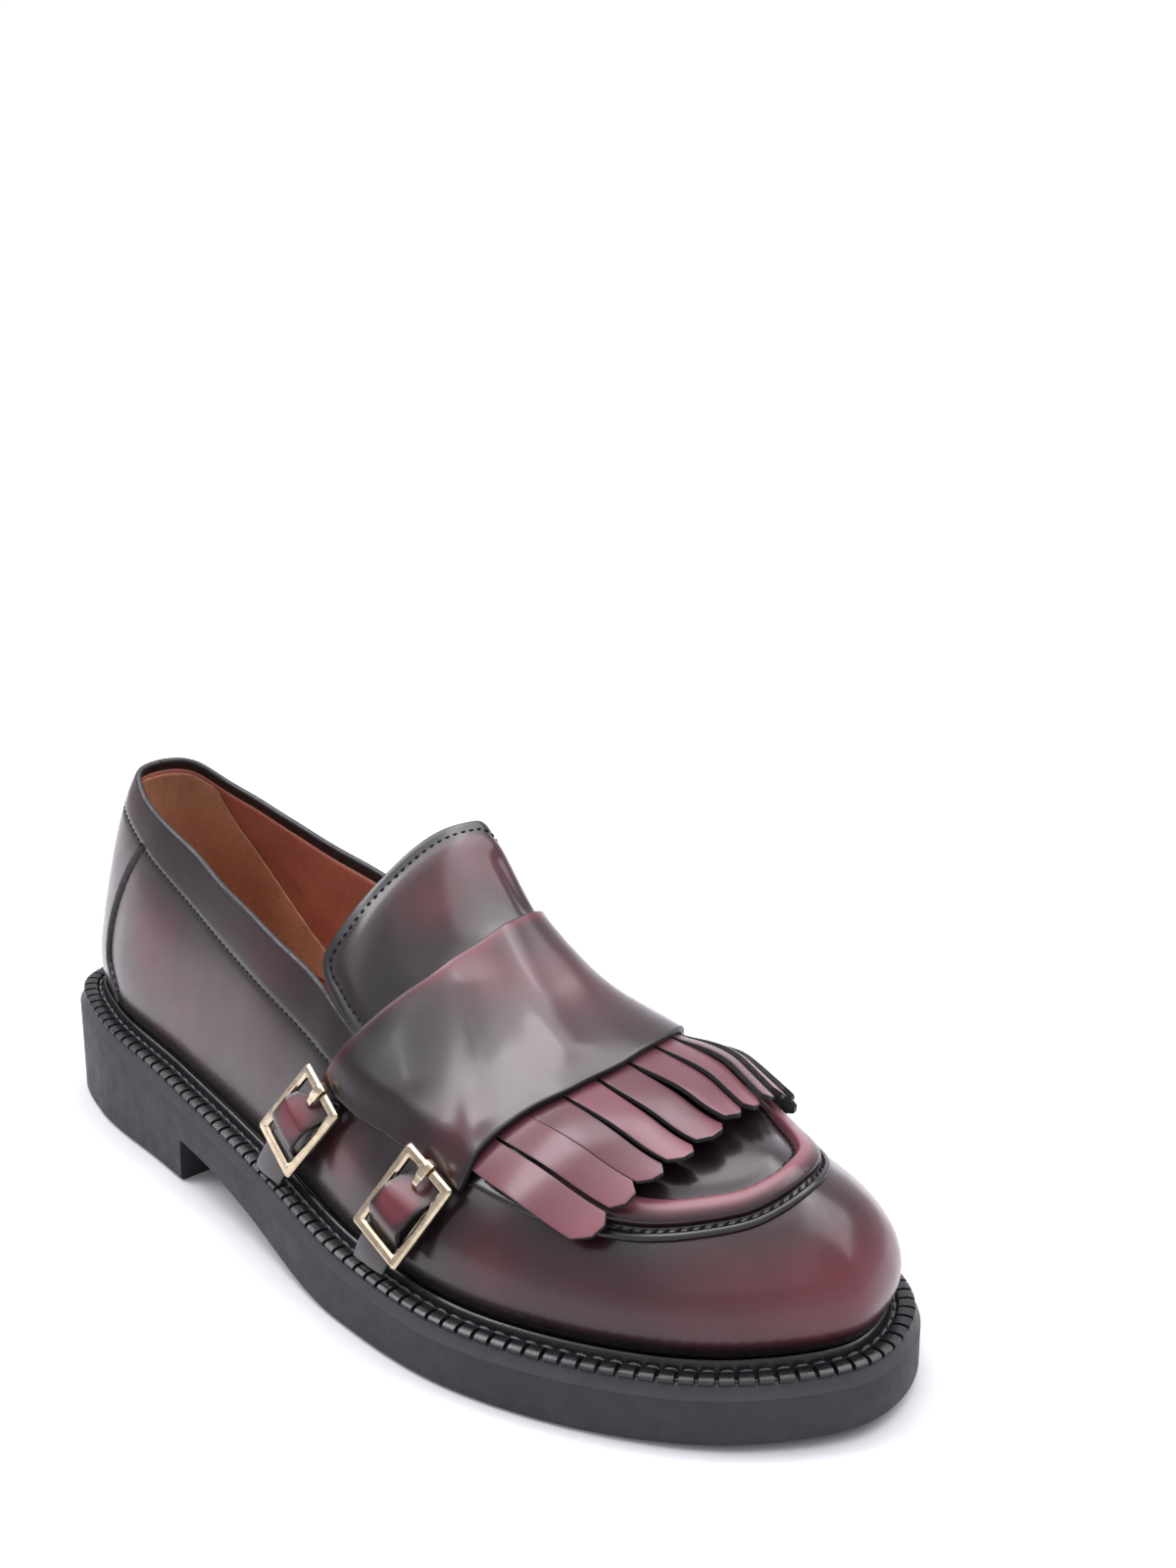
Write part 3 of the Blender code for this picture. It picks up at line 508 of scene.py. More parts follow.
# ---- node graphs and finishes
class Graph:
    """A short way to write the node graph of a material or of the world."""

    def __init__(self, name: str, world: bool = False) -> None:
        """Starts a material, or the world.

        Args:
            name: its name.
            world: whether it is the world.
        """
        self.made = (bpy.data.worlds if world else bpy.data.materials).new(name)
        self.made.use_nodes = True
        self.nodes, self.links = self.made.node_tree.nodes, self.made.node_tree.links
        self.shader = self.nodes["Background" if world else "Principled BSDF"]
        places = self.nodes.new("ShaderNodeTexCoord").outputs
        self.place = places["Generated" if world else "Object"]

    def set(self, **values: float | tuple) -> None:
        """Sets constants on the shader's sockets.

        Args:
            values: the constants, by the socket's name with _ for a space.
        """
        for name, value in values.items():
            socket = self.shader.inputs[name.replace("_", " ")]
            socket.default_value = (*value, 1.0) if isinstance(value, tuple) and len(value) == 3 \
                and len(socket.default_value) == 4 else value

    def join(self, output: Socket, name: str) -> None:
        """Leads an output to one of the shader's sockets."""
        self.links.new(output, self.shader.inputs[name])

    def noise(self, scale: float, detail: float = 3.0, rough: float = 0.5,
              squeeze: Triple | None = None) -> Socket:
        """Soft noise between 0 and 1.

        Args:
            scale: its features are about 1/scale metres across.
            detail: how many finer layers it has.
            rough: how strong those are.
            squeeze: scales along X, Y and Z, where they differ.

        Returns:
            The noise.
        """
        node = self.nodes.new("ShaderNodeTexNoise")
        node.inputs["Scale"].default_value = scale
        node.inputs["Detail"].default_value = detail
        node.inputs["Roughness"].default_value = rough
        place = self.place
        if squeeze:
            mapping = self.nodes.new("ShaderNodeMapping")
            mapping.inputs["Scale"].default_value = squeeze
            self.links.new(place, mapping.inputs["Vector"])
            place = mapping.outputs["Vector"]
        self.links.new(place, node.inputs["Vector"])
        return node.outputs["Fac"]

    def cells(self, scale: float) -> Socket:
        """Distance to the nearest of many scattered points, for pores.

        Args:
            scale: the points are about 1/scale metres apart.

        Returns:
            The distance.
        """
        node = self.nodes.new("ShaderNodeTexVoronoi")
        node.inputs["Scale"].default_value = scale
        self.links.new(self.place, node.inputs["Vector"])
        return node.outputs["Distance"]

    def tone(self) -> Socket:
        """The tone stored on the mesh's points.

        Returns:
            The tone.
        """
        node = self.nodes.new("ShaderNodeAttribute")
        node.attribute_name = "tone"
        return node.outputs["Fac"]

    def math(self, kind: str, a: object, b: object = 0.0, c: object = 0.0) -> Socket:
        """A sum on sockets or numbers.

        Args:
            kind: the operation.
            a: its first term.
            b: its second term.
            c: its third term.

        Returns:
            The result.
        """
        node = self.nodes.new("ShaderNodeMath")
        node.operation = kind
        for socket, value in zip(node.inputs, (a, b, c)):
            if isinstance(value, (int, float)):
                socket.default_value = value
            else:
                self.links.new(value, socket)
        return node.outputs[0]

    def span(self, value: object, low: float, high: float, a: float, b: float) -> Socket:
        """Carries a value from one span to another.

        Args:
            value: the value.
            low: start of the span it comes from.
            high: end of that span.
            a: start of the span it goes to.
            b: end of that span.

        Returns:
            The value in its new span.
        """
        node = self.nodes.new("ShaderNodeMapRange")
        self.links.new(value, node.inputs["Value"])
        for name, number in zip(("From Min", "From Max", "To Min", "To Max"), (low, high, a, b)):
            node.inputs[name].default_value = number
        return node.outputs["Result"]

    def ramp(self, value: object, stops: Sequence[tuple[float, Triple]]) -> Socket:
        """Triples along a value.

        Args:
            value: the value.
            stops: places along it with their colours.

        Returns:
            The colour.
        """
        node = self.nodes.new("ShaderNodeValToRGB")
        band = node.color_ramp
        while len(band.elements) < len(stops):
            band.elements.new(0.5)
        for element, (place, colour) in zip(band.elements, stops):
            element.position = place
            element.color = (*colour, 1.0)
        self.links.new(value, node.inputs["Fac"])
        return node.outputs["Color"]

    def bump(self, *layers: tuple[object, float]) -> None:
        """Adds small relief.

        Args:
            layers: pairs of a height and its depth in metres.
        """
        last = None
        for height, depth in layers:
            node = self.nodes.new("ShaderNodeBump")
            node.inputs["Strength"].default_value = 1.0
            node.inputs["Distance"].default_value = depth
            self.links.new(height, node.inputs["Height"])
            if last is not None:
                self.links.new(last, node.inputs["Normal"])
            last = node.outputs["Normal"]
        self.join(last, "Normal")


@dataclass(frozen=True)
class BrushedLeather:
    """Glossy leather, brushed from black to burgundy where the mesh's tone is high."""

    name: str
    stops: tuple[tuple[float, Triple], ...]
    roughness: float = 0.38
    coat: float = 0.78
    coat_roughness: float = 0.20
    cloud: float = 0.24

    def lay(self, g: Graph) -> None:
        """Lays out the nodes.

        Args:
            g: the material's graph.
        """
        cloud = g.math("MULTIPLY_ADD", g.noise(55.0, 4.0, 0.55), self.cloud, -self.cloud / 2.0)
        fine = g.math("MULTIPLY_ADD", g.noise(420.0, 3.0, 0.6), 0.10, -0.05)
        tone = g.math("ADD", g.math("ADD", g.tone(), cloud), fine)
        g.join(g.ramp(tone, self.stops), "Base Color")
        rough = g.span(g.noise(160.0, 5.0), 0.3, 0.7, self.roughness - 0.05, self.roughness + 0.07)
        g.join(rough, "Roughness")
        g.set(Specular_IOR_Level=0.20, Coat_Weight=self.coat, Coat_Roughness=self.coat_roughness,
              Coat_IOR=1.5)
        g.bump((g.noise(60.0, 1.0), 0.00014), (g.noise(900.0, 2.0), 0.000005))


@dataclass(frozen=True)
class PlainLeather:
    """A soft, unglazed leather: lining, sock or suede."""

    name: str
    dark: Triple
    light: Triple
    roughness: float = 0.6
    nap: float = 0.00004

    def lay(self, g: Graph) -> None:
        """Lays out the nodes.

        Args:
            g: the material's graph.
        """
        mottle = g.math("ADD", g.math("MULTIPLY", g.noise(45.0, 4.0), 0.7),
                        g.math("MULTIPLY", g.noise(600.0, 3.0, 0.7), 0.3))
        g.join(g.ramp(mottle, ((0.36, self.dark), (0.64, self.light))), "Base Color")
        g.set(Roughness=self.roughness, Specular_IOR_Level=0.35)
        g.bump((g.noise(1500.0, 4.0, 0.7), self.nap), (g.cells(900.0), self.nap * 0.6))


@dataclass(frozen=True)
class CutEdge:
    """The painted or raw black edge of a cut piece of leather."""

    name: str
    colour: Triple = (0.006, 0.005, 0.006)
    roughness: float = 0.45

    def lay(self, g: Graph) -> None:
        """Lays out the nodes.

        Args:
            g: the material's graph.
        """
        dark = tuple(0.5 * value for value in self.colour)
        g.join(g.ramp(g.noise(700.0, 4.0, 0.7), ((0.3, dark), (0.7, self.colour))), "Base Color")
        g.join(g.span(g.noise(500.0, 4.0), 0.3, 0.7, self.roughness - 0.1, self.roughness + 0.15),
               "Roughness")
        g.bump((g.noise(1400.0, 4.0, 0.7), 0.00005))


@dataclass(frozen=True)
class Rubber:
    """Moulded rubber with fine pores and a little dust."""

    name: str
    colour: Triple
    dusty: Triple
    roughness: float
    grain: float = 0.00003

    def lay(self, g: Graph) -> None:
        """Lays out the nodes.

        Args:
            g: the material's graph.
        """
        mottle = g.math("ADD", g.math("MULTIPLY", g.noise(90.0, 5.0, 0.6), 0.6),
                        g.math("MULTIPLY", g.noise(1200.0, 3.0, 0.7), 0.4))
        g.join(g.ramp(mottle, ((0.35, self.colour), (0.72, self.dusty))), "Base Color")
        g.join(g.span(g.noise(220.0, 5.0), 0.3, 0.7, self.roughness - 0.06, self.roughness + 0.08),
               "Roughness")
        g.set(Specular_IOR_Level=0.45)
        g.bump((g.noise(260.0, 4.0), self.grain * 2.0), (g.cells(1400.0), self.grain))


@dataclass(frozen=True)
class Thread:
    """Waxed sewing thread with its twist."""

    name: str
    colour: Triple
    roughness: float = 0.42

    def lay(self, g: Graph) -> None:
        """Lays out the nodes.

        Args:
            g: the material's graph.
        """
        light = tuple(min(1.0, 1.8 * value) for value in self.colour)
        g.join(g.ramp(g.noise(2500.0, 2.0), ((0.4, self.colour), (0.6, light))), "Base Color")
        g.set(Roughness=self.roughness, Specular_IOR_Level=0.2)
        g.bump((g.noise(3500.0, 2.0, 0.5, (1.0, 1.0, 0.3)), 0.00004))


@dataclass(frozen=True)
class Plating:
    """Polished pale gold plating with faint wear."""

    name: str
    colour: Triple = (0.66, 0.56, 0.41)
    worn: Triple = (0.47, 0.39, 0.27)
    roughness: float = 0.12

    def lay(self, g: Graph) -> None:
        """Lays out the nodes.

        Args:
            g: the material's graph.
        """
        g.join(g.ramp(g.noise(380.0, 5.0, 0.6), ((0.35, self.worn), (0.6, self.colour))),
               "Base Color")
        g.join(g.span(g.noise(900.0, 5.0, 0.7), 0.3, 0.75, self.roughness - 0.05,
                      self.roughness + 0.14), "Roughness")
        g.set(Metallic=1.0)
        g.bump((g.noise(700.0, 2.0), 0.000003))


class Finish(Enum):
    """Every finish of the shoe; the value lays out its material."""

    UPPER = BrushedLeather("burgundy_skin", (
        (0.00, (0.0032, 0.0028, 0.0036)), (0.30, (0.0080, 0.0028, 0.0038)),
        (0.62, (0.0280, 0.0040, 0.0065)), (1.00, (0.0950, 0.0130, 0.0210))))
    FRINGE = BrushedLeather("fringe_skin", (
        (0.00, (0.0140, 0.0036, 0.0050)), (0.45, (0.0760, 0.0230, 0.0300)),
        (1.00, (0.1600, 0.0560, 0.0690))), 0.40, 0.55, 0.24, 0.16)
    LINING = PlainLeather("cognac_lining", (0.250, 0.072, 0.048), (0.350, 0.116, 0.074), 0.42)
    SOCK = PlainLeather("tan_sock", (0.330, 0.120, 0.050), (0.460, 0.180, 0.080), 0.55)
    SUEDE = PlainLeather("heel_grip_suede", (0.380, 0.185, 0.104), (0.520, 0.262, 0.156), 0.90,
                         0.00012)
    EDGE = CutEdge("edge_paint")
    RAW_EDGE = CutEdge("raw_cut_edge", (0.009, 0.008, 0.009), 0.70)
    SOLE = Rubber("matt_sole_rubber", (0.0120, 0.0128, 0.0148), (0.0220, 0.0232, 0.0265), 0.60)
    # Smoother than the sole's rubber; its lighter colour is painted light, which the sloping face
    # catches from above.
    BAND = Rubber("smooth_rubber_painted_light", (0.0210, 0.0220, 0.0250), (0.0290, 0.0305, 0.0345), 0.46)
    WELT = Rubber("glossy_welt_rubber", (0.0070, 0.0072, 0.0082), (0.0120, 0.0125, 0.0145), 0.28,
                  0.00002)
    THREAD = Thread("dark_thread", (0.0040, 0.0034, 0.0042), 0.8)
    # The welt's thread is black; this grey colour paints the glints of light along its stitches.
    WELT_THREAD_PAINTED_GLINT = Thread("welt_thread_painted_glint", (0.060, 0.060, 0.064), 0.40)
    GOLD = Plating("gold_plating")

    def material(self) -> Material:
        """This finish's material, built on its first use.

        Returns:
            The material.
        """
        if self.value.name not in bpy.data.materials:
            self.value.lay(Graph(self.value.name))
        return bpy.data.materials[self.value.name]


# ---- mesh helpers
def grid_faces(rows: int, columns: int, closed: bool = False, start: int = 0) -> Array:
    """Quads between neighbouring rows of a grid.

    Args:
        rows: number of rows.
        columns: points in a row.
        closed: whether the last column joins the first.
        start: number of the grid's first point.

    Returns:
        (n, 4) point numbers.
    """
    i, j = np.meshgrid(np.arange(rows - 1), np.arange(columns if closed else columns - 1),
                       indexing="ij")
    i, j = i.ravel(), j.ravel()
    k = (j + 1) % columns
    return start + np.stack([i * columns + j, (i + 1) * columns + j,
                             (i + 1) * columns + k, i * columns + k], axis=1)


def piece(name: str, points: Array, faces: Sequence, finishes: Sequence[Finish],
          slots: Array | None = None, tone: Array | None = None, weld: bool = True,
          angle: float = 40.0) -> Thing:
    """An object made of points and faces on the last, set over the origin.

    Args:
        name: the object's name.
        points: (n, 3) points, with X from the back of the heel.
        faces: point numbers of each face.
        finishes: its materials.
        slots: for each face, the number of its finish.
        tone: for each point, how far the leather is brushed to burgundy, with spots of painted shade and
            highlight.
        weld: whether doubled points are joined.
        angle: edges sharper than this stay sharp, in degrees.

    Returns:
        The object, riding on the shoe's body.
    """
    mesh = bpy.data.meshes.new(name)
    points = np.asarray(points, float).reshape(-1, 3) - (SIZES.length / 2.0, MIDDLE_Y, 0.0)
    mesh.from_pydata(points.tolist(), [], [tuple(int(v) for v in face) for face in faces])
    for finish in finishes:
        mesh.materials.append(finish.material())
    if slots is not None:
        mesh.polygons.foreach_set("material_index", np.asarray(slots, np.int32))
    if tone is not None:
        stored = mesh.attributes.new("tone", "FLOAT", "POINT")
        stored.data.foreach_set("value", np.asarray(tone, np.float32).ravel())
    if weld:
        work = bmesh.new()
        work.from_mesh(mesh)
        bmesh.ops.remove_doubles(work, verts=work.verts, dist=2e-6)
        bmesh.ops.dissolve_degenerate(work, edges=work.edges, dist=1e-6)
        bmesh.ops.recalc_face_normals(work, faces=work.faces)
        work.to_mesh(mesh)
        work.free()
    mesh.shade_smooth()
    mesh.set_sharp_from_angle(angle=math.radians(angle))
    made = bpy.data.objects.new(name, mesh)
    bpy.context.scene.collection.objects.link(made)
    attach(made, "root")
    LOG.info("made %s: %d faces", name, len(mesh.polygons))
    return made


def slab(name: str, grid: Array, guide: Array, thickness: float, finishes: Sequence[Finish],
         tone: Array | None = None, round_edge: float = 0.0003) -> Thing:
    """A flat piece of leather: a face, a rounded cut edge and a back, as one closed body.

    Args:
        name: the object's name.
        grid: (rows, columns, 3) points of its outer face.
        guide: (rows, columns, 3) directions that its face looks towards.
        thickness: how thick it is.
        finishes: of its face, its edge and its back.
        tone: (rows, columns) how far it is brushed to burgundy, with spots of painted shade and
            highlight.
        round_edge: radius of its outer edge.

    Returns:
        The object.
    """
    rows, columns = grid.shape[:2]
    count = rows * columns
    normals = unit(np.cross(np.gradient(grid, axis=0), np.gradient(grid, axis=1)))
    normals = normals * np.sign((normals * guide).sum(axis=-1))[..., None]
    number = np.arange(count).reshape(rows, columns)
    loop = np.r_[number[0, :-1], number[:-1, -1], number[-1, :0:-1], number[:0:-1, 0]]
    face, out = grid.reshape(-1, 3), normals.reshape(-1, 3)
    ring, ring_out = face[loop], out[loop]
    away = unit(np.cross(np.roll(ring, -1, axis=0) - np.roll(ring, 1, axis=0), ring_out))
    if ((ring - ring.mean(axis=0)) * away).sum() < 0.0:
        away = -away
    rims = [ring + away * round_edge * math.sin(a) - ring_out * round_edge * (1.0 - math.cos(a))
            for a in (math.pi / 6.0, math.pi / 3.0, math.pi / 2.0)]
    rims.append(ring + away * round_edge - ring_out * (thickness - round_edge / 2.0))
    points = np.concatenate([face, *rims, face - out * thickness])
    faces = [grid_faces(rows, columns)]
    slots = [np.zeros(len(faces[0]), int)]
    levels = [loop, *(count + k * len(loop) + np.arange(len(loop)) for k in range(len(rims))),
              count + len(rims) * len(loop) + loop]
    for upper, lower in zip(levels[:-1], levels[1:]):
        faces.append(np.stack([upper, lower, np.roll(lower, -1), np.roll(upper, -1)], axis=1))
        slots.append(np.ones(len(loop), int))
    faces.append(grid_faces(rows, columns, start=count + len(rims) * len(loop)))
    slots.append(np.full(len(faces[-1]), 2))
    if tone is not None:
        tone = np.asarray(tone, float).ravel()
        tone = np.concatenate([tone, *[tone[loop]] * len(rims), tone])
    return piece(name, points, np.concatenate(faces), finishes, np.concatenate(slots), tone)


def swept(name: str, rings: Array, finishes: Sequence[Finish], closed: bool = False,
          slots: Array | None = None, tone: Array | None = None,
          angle: float = 40.0) -> Thing:
    """A closed body through rings of points; its ends are capped unless it is a loop.

    Args:
        name: the object's name.
        rings: (count, corners, 3) points.
        finishes: its materials.
        closed: whether the last ring joins the first.
        slots: for each side of a ring, the number of its finish.
        tone: (count, corners) how far it is brushed to burgundy.
        angle: edges sharper than this stay sharp, in degrees.

    Returns:
        The object.
    """
    count, corners = rings.shape[:2]
    points = np.concatenate([rings, rings[:1]]) if closed else rings
    faces = grid_faces(len(points), corners, closed=True).tolist()
    kinds = np.tile(np.arange(corners) if slots is None else slots, len(points) - 1)
    kinds = np.zeros(len(faces), int) if slots is None else kinds
    if not closed:
        faces += [tuple(range(corners)), tuple(range((count - 1) * corners, count * corners))[::-1]]
        kinds = np.r_[kinds, 0, 0]
    if tone is not None:
        tone = np.concatenate([tone, tone[:1]]) if closed else tone
    return piece(name, points.reshape(-1, 3), faces, finishes, kinds, tone, angle=angle)


def thicken(made: Thing, thickness: float, offset: float) -> None:
    """Gives an open sheet a thickness, and drops the points that no face uses.

    Args:
        made: the sheet.
        thickness: how thick it gets.
        offset: -1 for inwards, 1 for outwards.
    """
    work = bmesh.new()
    work.from_mesh(made.data)
    bmesh.ops.delete(work, geom=[v for v in work.verts if not v.link_faces], context="VERTS")
    work.to_mesh(made.data)
    work.free()
    shell = made.modifiers.new("thickness", "SOLIDIFY")
    shell.thickness, shell.offset = thickness, offset


class Ring(NamedTuple):
    """A ring of a stitch: its place as a share of the length, its girth and height in radii."""

    at: float
    fat: float
    high: float


@dataclass(frozen=True)
class Stitching:
    """A row of stitches: how long each is, the gap between, its radius and its slant."""

    length: float = 0.0020
    gap: float = 0.0006
    radius: float = 0.00026
    slant: float = 0.0
    sink: float = 0.00010
    finish: Finish = Finish.THREAD

    SIDES = 6
    RINGS = (
        Ring(-0.50, 0.30, -0.7), Ring(-0.36, 0.85, 0.2), Ring(0.0, 1.0, 0.6), Ring(0.36, 0.85, 0.2),
        Ring(0.50, 0.30, -0.7))

    def sew(self, name: str, line: Array, normals: Array) -> Thing:
        """Stitches along a line on a surface.

        Args:
            name: the object's name.
            line: (n, 3) points of the line.
            normals: (n, 3) the surface's normals there.

        Returns:
            One object that holds the whole row.
        """
        run = run_along(line)
        pitch = self.length + self.gap
        middles = np.arange(pitch / 2.0, run[-1] - pitch / 2.0, pitch)
        centre = resample(line, middles)
        ahead = resample(line, np.minimum(middles + 2e-4, run[-1])) - resample(line, middles - 2e-4)
        ahead = unit(ahead)
        out = unit(np.stack([np.interp(middles, run, normals[:, k]) for k in range(3)], axis=1))
        aside = unit(np.cross(out, ahead))
        ahead = unit(ahead + aside * math.tan(math.radians(self.slant)))
        aside = unit(np.cross(out, ahead))
        turns = np.linspace(0.0, 2.0 * np.pi, self.SIDES, endpoint=False)
        rings = []
        for at, fat, high in self.RINGS:
            spot = centre + ahead * at * self.length + out * (high * self.radius - self.sink)
            rings.append([spot + (aside * math.cos(a) + out * math.sin(a)) * self.radius * fat
                          for a in turns])
        points = np.array(rings).transpose(2, 0, 1, 3)
        per = len(self.RINGS) * self.SIDES
        one = grid_faces(len(self.RINGS), self.SIDES, closed=True).tolist()
        one += [tuple(range(self.SIDES))[::-1], tuple(range(per - self.SIDES, per))]
        faces = [tuple(v + per * i for v in face) for i in range(len(centre)) for face in one]
        return piece(name, points.reshape(-1, 3), faces, (self.finish,), weld=False, angle=60.0)


# ---- tone and relief
class Patch(NamedTuple):
    """A soft spot where the leather is brushed to burgundy, or painted shade where its strength is below
    0.
    """

    x: float
    y: float
    z: float
    size: float
    strength: float


def brushed(points: Array, patches: Sequence[Patch], base: float = 0.0) -> Array:
    """How far the leather is brushed to burgundy, less where patches below 0 paint shade.

    Args:
        points: where.
        patches: the soft spots of the leather, and spots of painted shade.
        base: the tone away from them.

    Returns:
        The tone at each point.
    """
    tone = np.full(points.shape[:-1], base)
    for patch in patches:
        away = np.linalg.norm(points - (patch.x, patch.y, patch.z), axis=-1)
        tone += patch.strength * bell(away, patch.size)
    return tone


class Fold(NamedTuple):
    """A soft trough (or a ridge, if its depth is below 0) between two points of the leather."""

    start: Triple
    end: Triple
    width: float
    depth: float


def folded(points: Array, folds: Sequence[Fold]) -> Array:
    """How far folds push points inwards.

    Args:
        points: where.
        folds: the troughs and ridges.

    Returns:
        The distance at each point.
    """
    push = np.zeros(points.shape[:-1])
    for fold in folds:
        away = distance_to_line(points.reshape(-1, 3), np.array([fold.start, fold.end]))
        push += fold.depth * bell(away, fold.width).reshape(push.shape)
    return push


# ---- sole
class Notch(NamedTuple):
    """A place on a tooth of the welt, as a share of its pitch, and how whole it is there."""

    share: float
    whole: float


class Rim(NamedTuple):
    """A corner of the welt's section: inset and height, and how far a notch moves them."""

    inset: float
    height: float
    cut_in: float = 0.0
    cut_down: float = 0.0


@dataclass(frozen=True)
class Sole:
    """The rubber unit: heel, arch and forefoot in one, under a notched storm welt."""

    heel_breast: float = 0.082
    breast_ramp: float = 0.0006
    arch_height: float = 0.0115
    ball_contact: float = 0.165
    spring_start: float = 0.215
    toe_spring: float = 0.0025
    chamfer_height: float = 0.00012
    chamfer_depth: float = 0.00004
    shoulder_drop: float = 0.00004
    foot_round: float = 0.0010
    tread_pitch: float = 0.0072
    tread_width: float = 0.0018
    tread_depth: float = 0.0009
    tread_soft: float = 0.0003
    tread_margin: float = 0.006
    teeth: int = 150

    TOOTH = (
        Notch(0.00, 0.0), Notch(0.11, 0.0), Notch(0.16, 1.0), Notch(0.40, 1.0), Notch(0.66, 1.0),
        Notch(0.90, 1.0), Notch(0.95, 0.0))
    WELT = (
        Rim(0.00004, -SIZES.welt_thick), Rim(0.0009, -0.0030), Rim(0.0017, -0.0017),
        Rim(0.0014, -0.0013, 0.0010, -0.0001), Rim(0.0013, -0.0004, 0.0016, -0.0009),
        Rim(0.0018, 0.0000, 0.0014, -0.0012), Rim(0.0030, 0.0002, 0.0003, -0.0013),
        Rim(0.0044, 0.0001, 0.0, -0.0013), Rim(0.0050, -0.0002, 0.0, -0.0010),
        Rim(0.0053, -0.0010, 0.0, -0.0003), Rim(0.0057, -0.0013), Rim(0.0066, -0.0012),
        Rim(0.0069, -0.0003), Rim(0.0072, 0.0006), Rim(0.0076, 0.0009), Rim(0.0080, 0.0006),
        Rim(0.0083, -0.0003), Rim(SIZES.welt_width, 0.0), Rim(SIZES.welt_width, -SIZES.welt_thick))
    # The welt's stitches take the grey thread, whose colour paints glints on black thread.
    STITCHES = Stitching(0.0030, 0.0010, 0.00036, sink=0.0, finish=Finish.WELT_THREAD_PAINTED_GLINT)
    STITCH_LINE = Rim(0.0060, -0.0009)

    def ground(self, x: Array) -> Array:
        """Height of the underside: heel, arch, forefoot and toe spring.

        Args:
            x: places along the shoe.

        Returns:
            The height there.
        """
        arch = self.arch_height * (1.0 - ease((x - self.heel_breast)
                                              / (self.ball_contact - self.heel_breast)))
        breast = np.clip((x - self.heel_breast) / self.breast_ramp + 1.0, 0.0, 1.0)
        spring = np.clip((x - self.spring_start) / (SIZES.length - self.spring_start), 0.0, 1.0)
        return arch * breast + self.toe_spring * spring ** 2

    def shoulder(self, x: Array) -> Array:
        """Height of the ledge that the welt lies on."""
        return welt_top(x) - SIZES.welt_thick - self.shoulder_drop

    def tread(self, x: Array, edge: Array) -> Array:
        """Depth of the cross grooves, which stay clear of the edge and of the arch.

        Args:
            x: places along the shoe.
            edge: distance from the sole's edge.

        Returns:
            The depth there.
        """
        phase = np.abs((x / self.tread_pitch) % 1.0 - 0.5) * self.tread_pitch
        groove = ease((self.tread_width / 2.0 + self.tread_soft - phase) / (2.0 * self.tread_soft))
        margin = self.tread_margin
        on_ground = (x < self.heel_breast - margin) | (x > self.ball_contact - 2.0 * margin)
        return self.tread_depth * groove * ease((edge - margin) / 0.001) * on_ground

    def build(self) -> None:
        """The outsole, the welt and the welt's stitches."""
        self.build_outsole()
        self.build_welt()

    def build_outsole(self) -> None:
        """One body with a rebate round its top for the welt."""
        breast = (self.heel_breast - self.breast_ramp) / SIZES.length, self.heel_breast / SIZES.length
        shares = np.sort(np.r_[round_stations(430), breast])
        toe_in, rebate = Outline(self.foot_round), Outline(SIZES.welt_width + SIZES.gap)
        lateral, medial = toe_in.by_x(-1, shares), toe_in.by_x(1, shares)
        loop = []
        for t in round_stations(23):
            place = lerp(lateral, medial, t)
            width = np.linalg.norm(medial - lateral, axis=1)
            edge = np.minimum(np.minimum(t, 1.0 - t) * width,
                              np.minimum(place[:, 0], SIZES.length - place[:, 0]))
            loop.append(np.c_[place, self.ground(place[:, 0]) + self.tread(place[:, 0], edge)])

        levels = (
            (SOLE_EDGE, lambda x: self.ground(x) + self.foot_round),
            (SOLE_EDGE, lambda x: lerp(self.ground(x), self.shoulder(x) - self.chamfer_height, 0.5)),
            (SOLE_EDGE, lambda x: self.shoulder(x) - self.chamfer_height),
            (Outline(self.chamfer_depth), lambda x: self.shoulder(x) - self.shoulder_drop),
            (Outline(self.chamfer_depth + self.shoulder_drop), self.shoulder),
            (rebate, self.shoulder), (rebate, welt_top))
        for side in (1, -1):
            for plan, height in levels[::side]:
                place = plan.by_x(side, shares)
                loop.append(np.c_[place, height(place[:, 0])])
        outsole = swept("outsole_unit", np.stack(loop, axis=1), (Finish.SOLE,), angle=28.0)
        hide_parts("outsole")

    def build_welt(self) -> None:
        """The storm welt: notched teeth outside, a stitched channel, a bead at the upper."""
        edge = np.vstack([SOLE_EDGE.loop, SOLE_EDGE.loop[:1]])
        run = run_along(edge)[-1]
        at = np.array([(i + step.share) / self.teeth for i in range(self.teeth) for step in self.TOOTH])
        place = resample(edge, at * run)
        ahead = evened(unit(np.roll(place, -1, axis=0) - np.roll(place, 1, axis=0)), 6)
        inward = np.c_[-ahead[:, 1], ahead[:, 0]]
        top = welt_top(place[:, 0])
        notch = 1.0 - np.tile(column(self.TOOTH, "whole"), self.teeth)
        # The first three sides, the welt's sloping lower face, take the band rubber, whose lighter
        # colour paints light from above.
        slots = np.array([1, 1, 1] + [0] * (len(self.WELT) - 3))
        columns = []
        for inset, height, cut_in, cut_down in self.WELT:
            spot = place + inward * (inset + cut_in * notch)[:, None]
            columns.append(np.c_[spot, top + height + cut_down * notch])
        welt = swept("storm_welt", np.stack(columns, axis=1), (Finish.WELT, Finish.BAND),
                     closed=True, slots=slots, angle=32.0)
        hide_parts("welt")
        line = np.c_[place + inward * self.STITCH_LINE.inset, top + self.STITCH_LINE.height]
        up = np.tile((0.0, 0.0, 1.0), (len(line), 1))
        self.STITCHES.sew("welt_stitches", line, up)


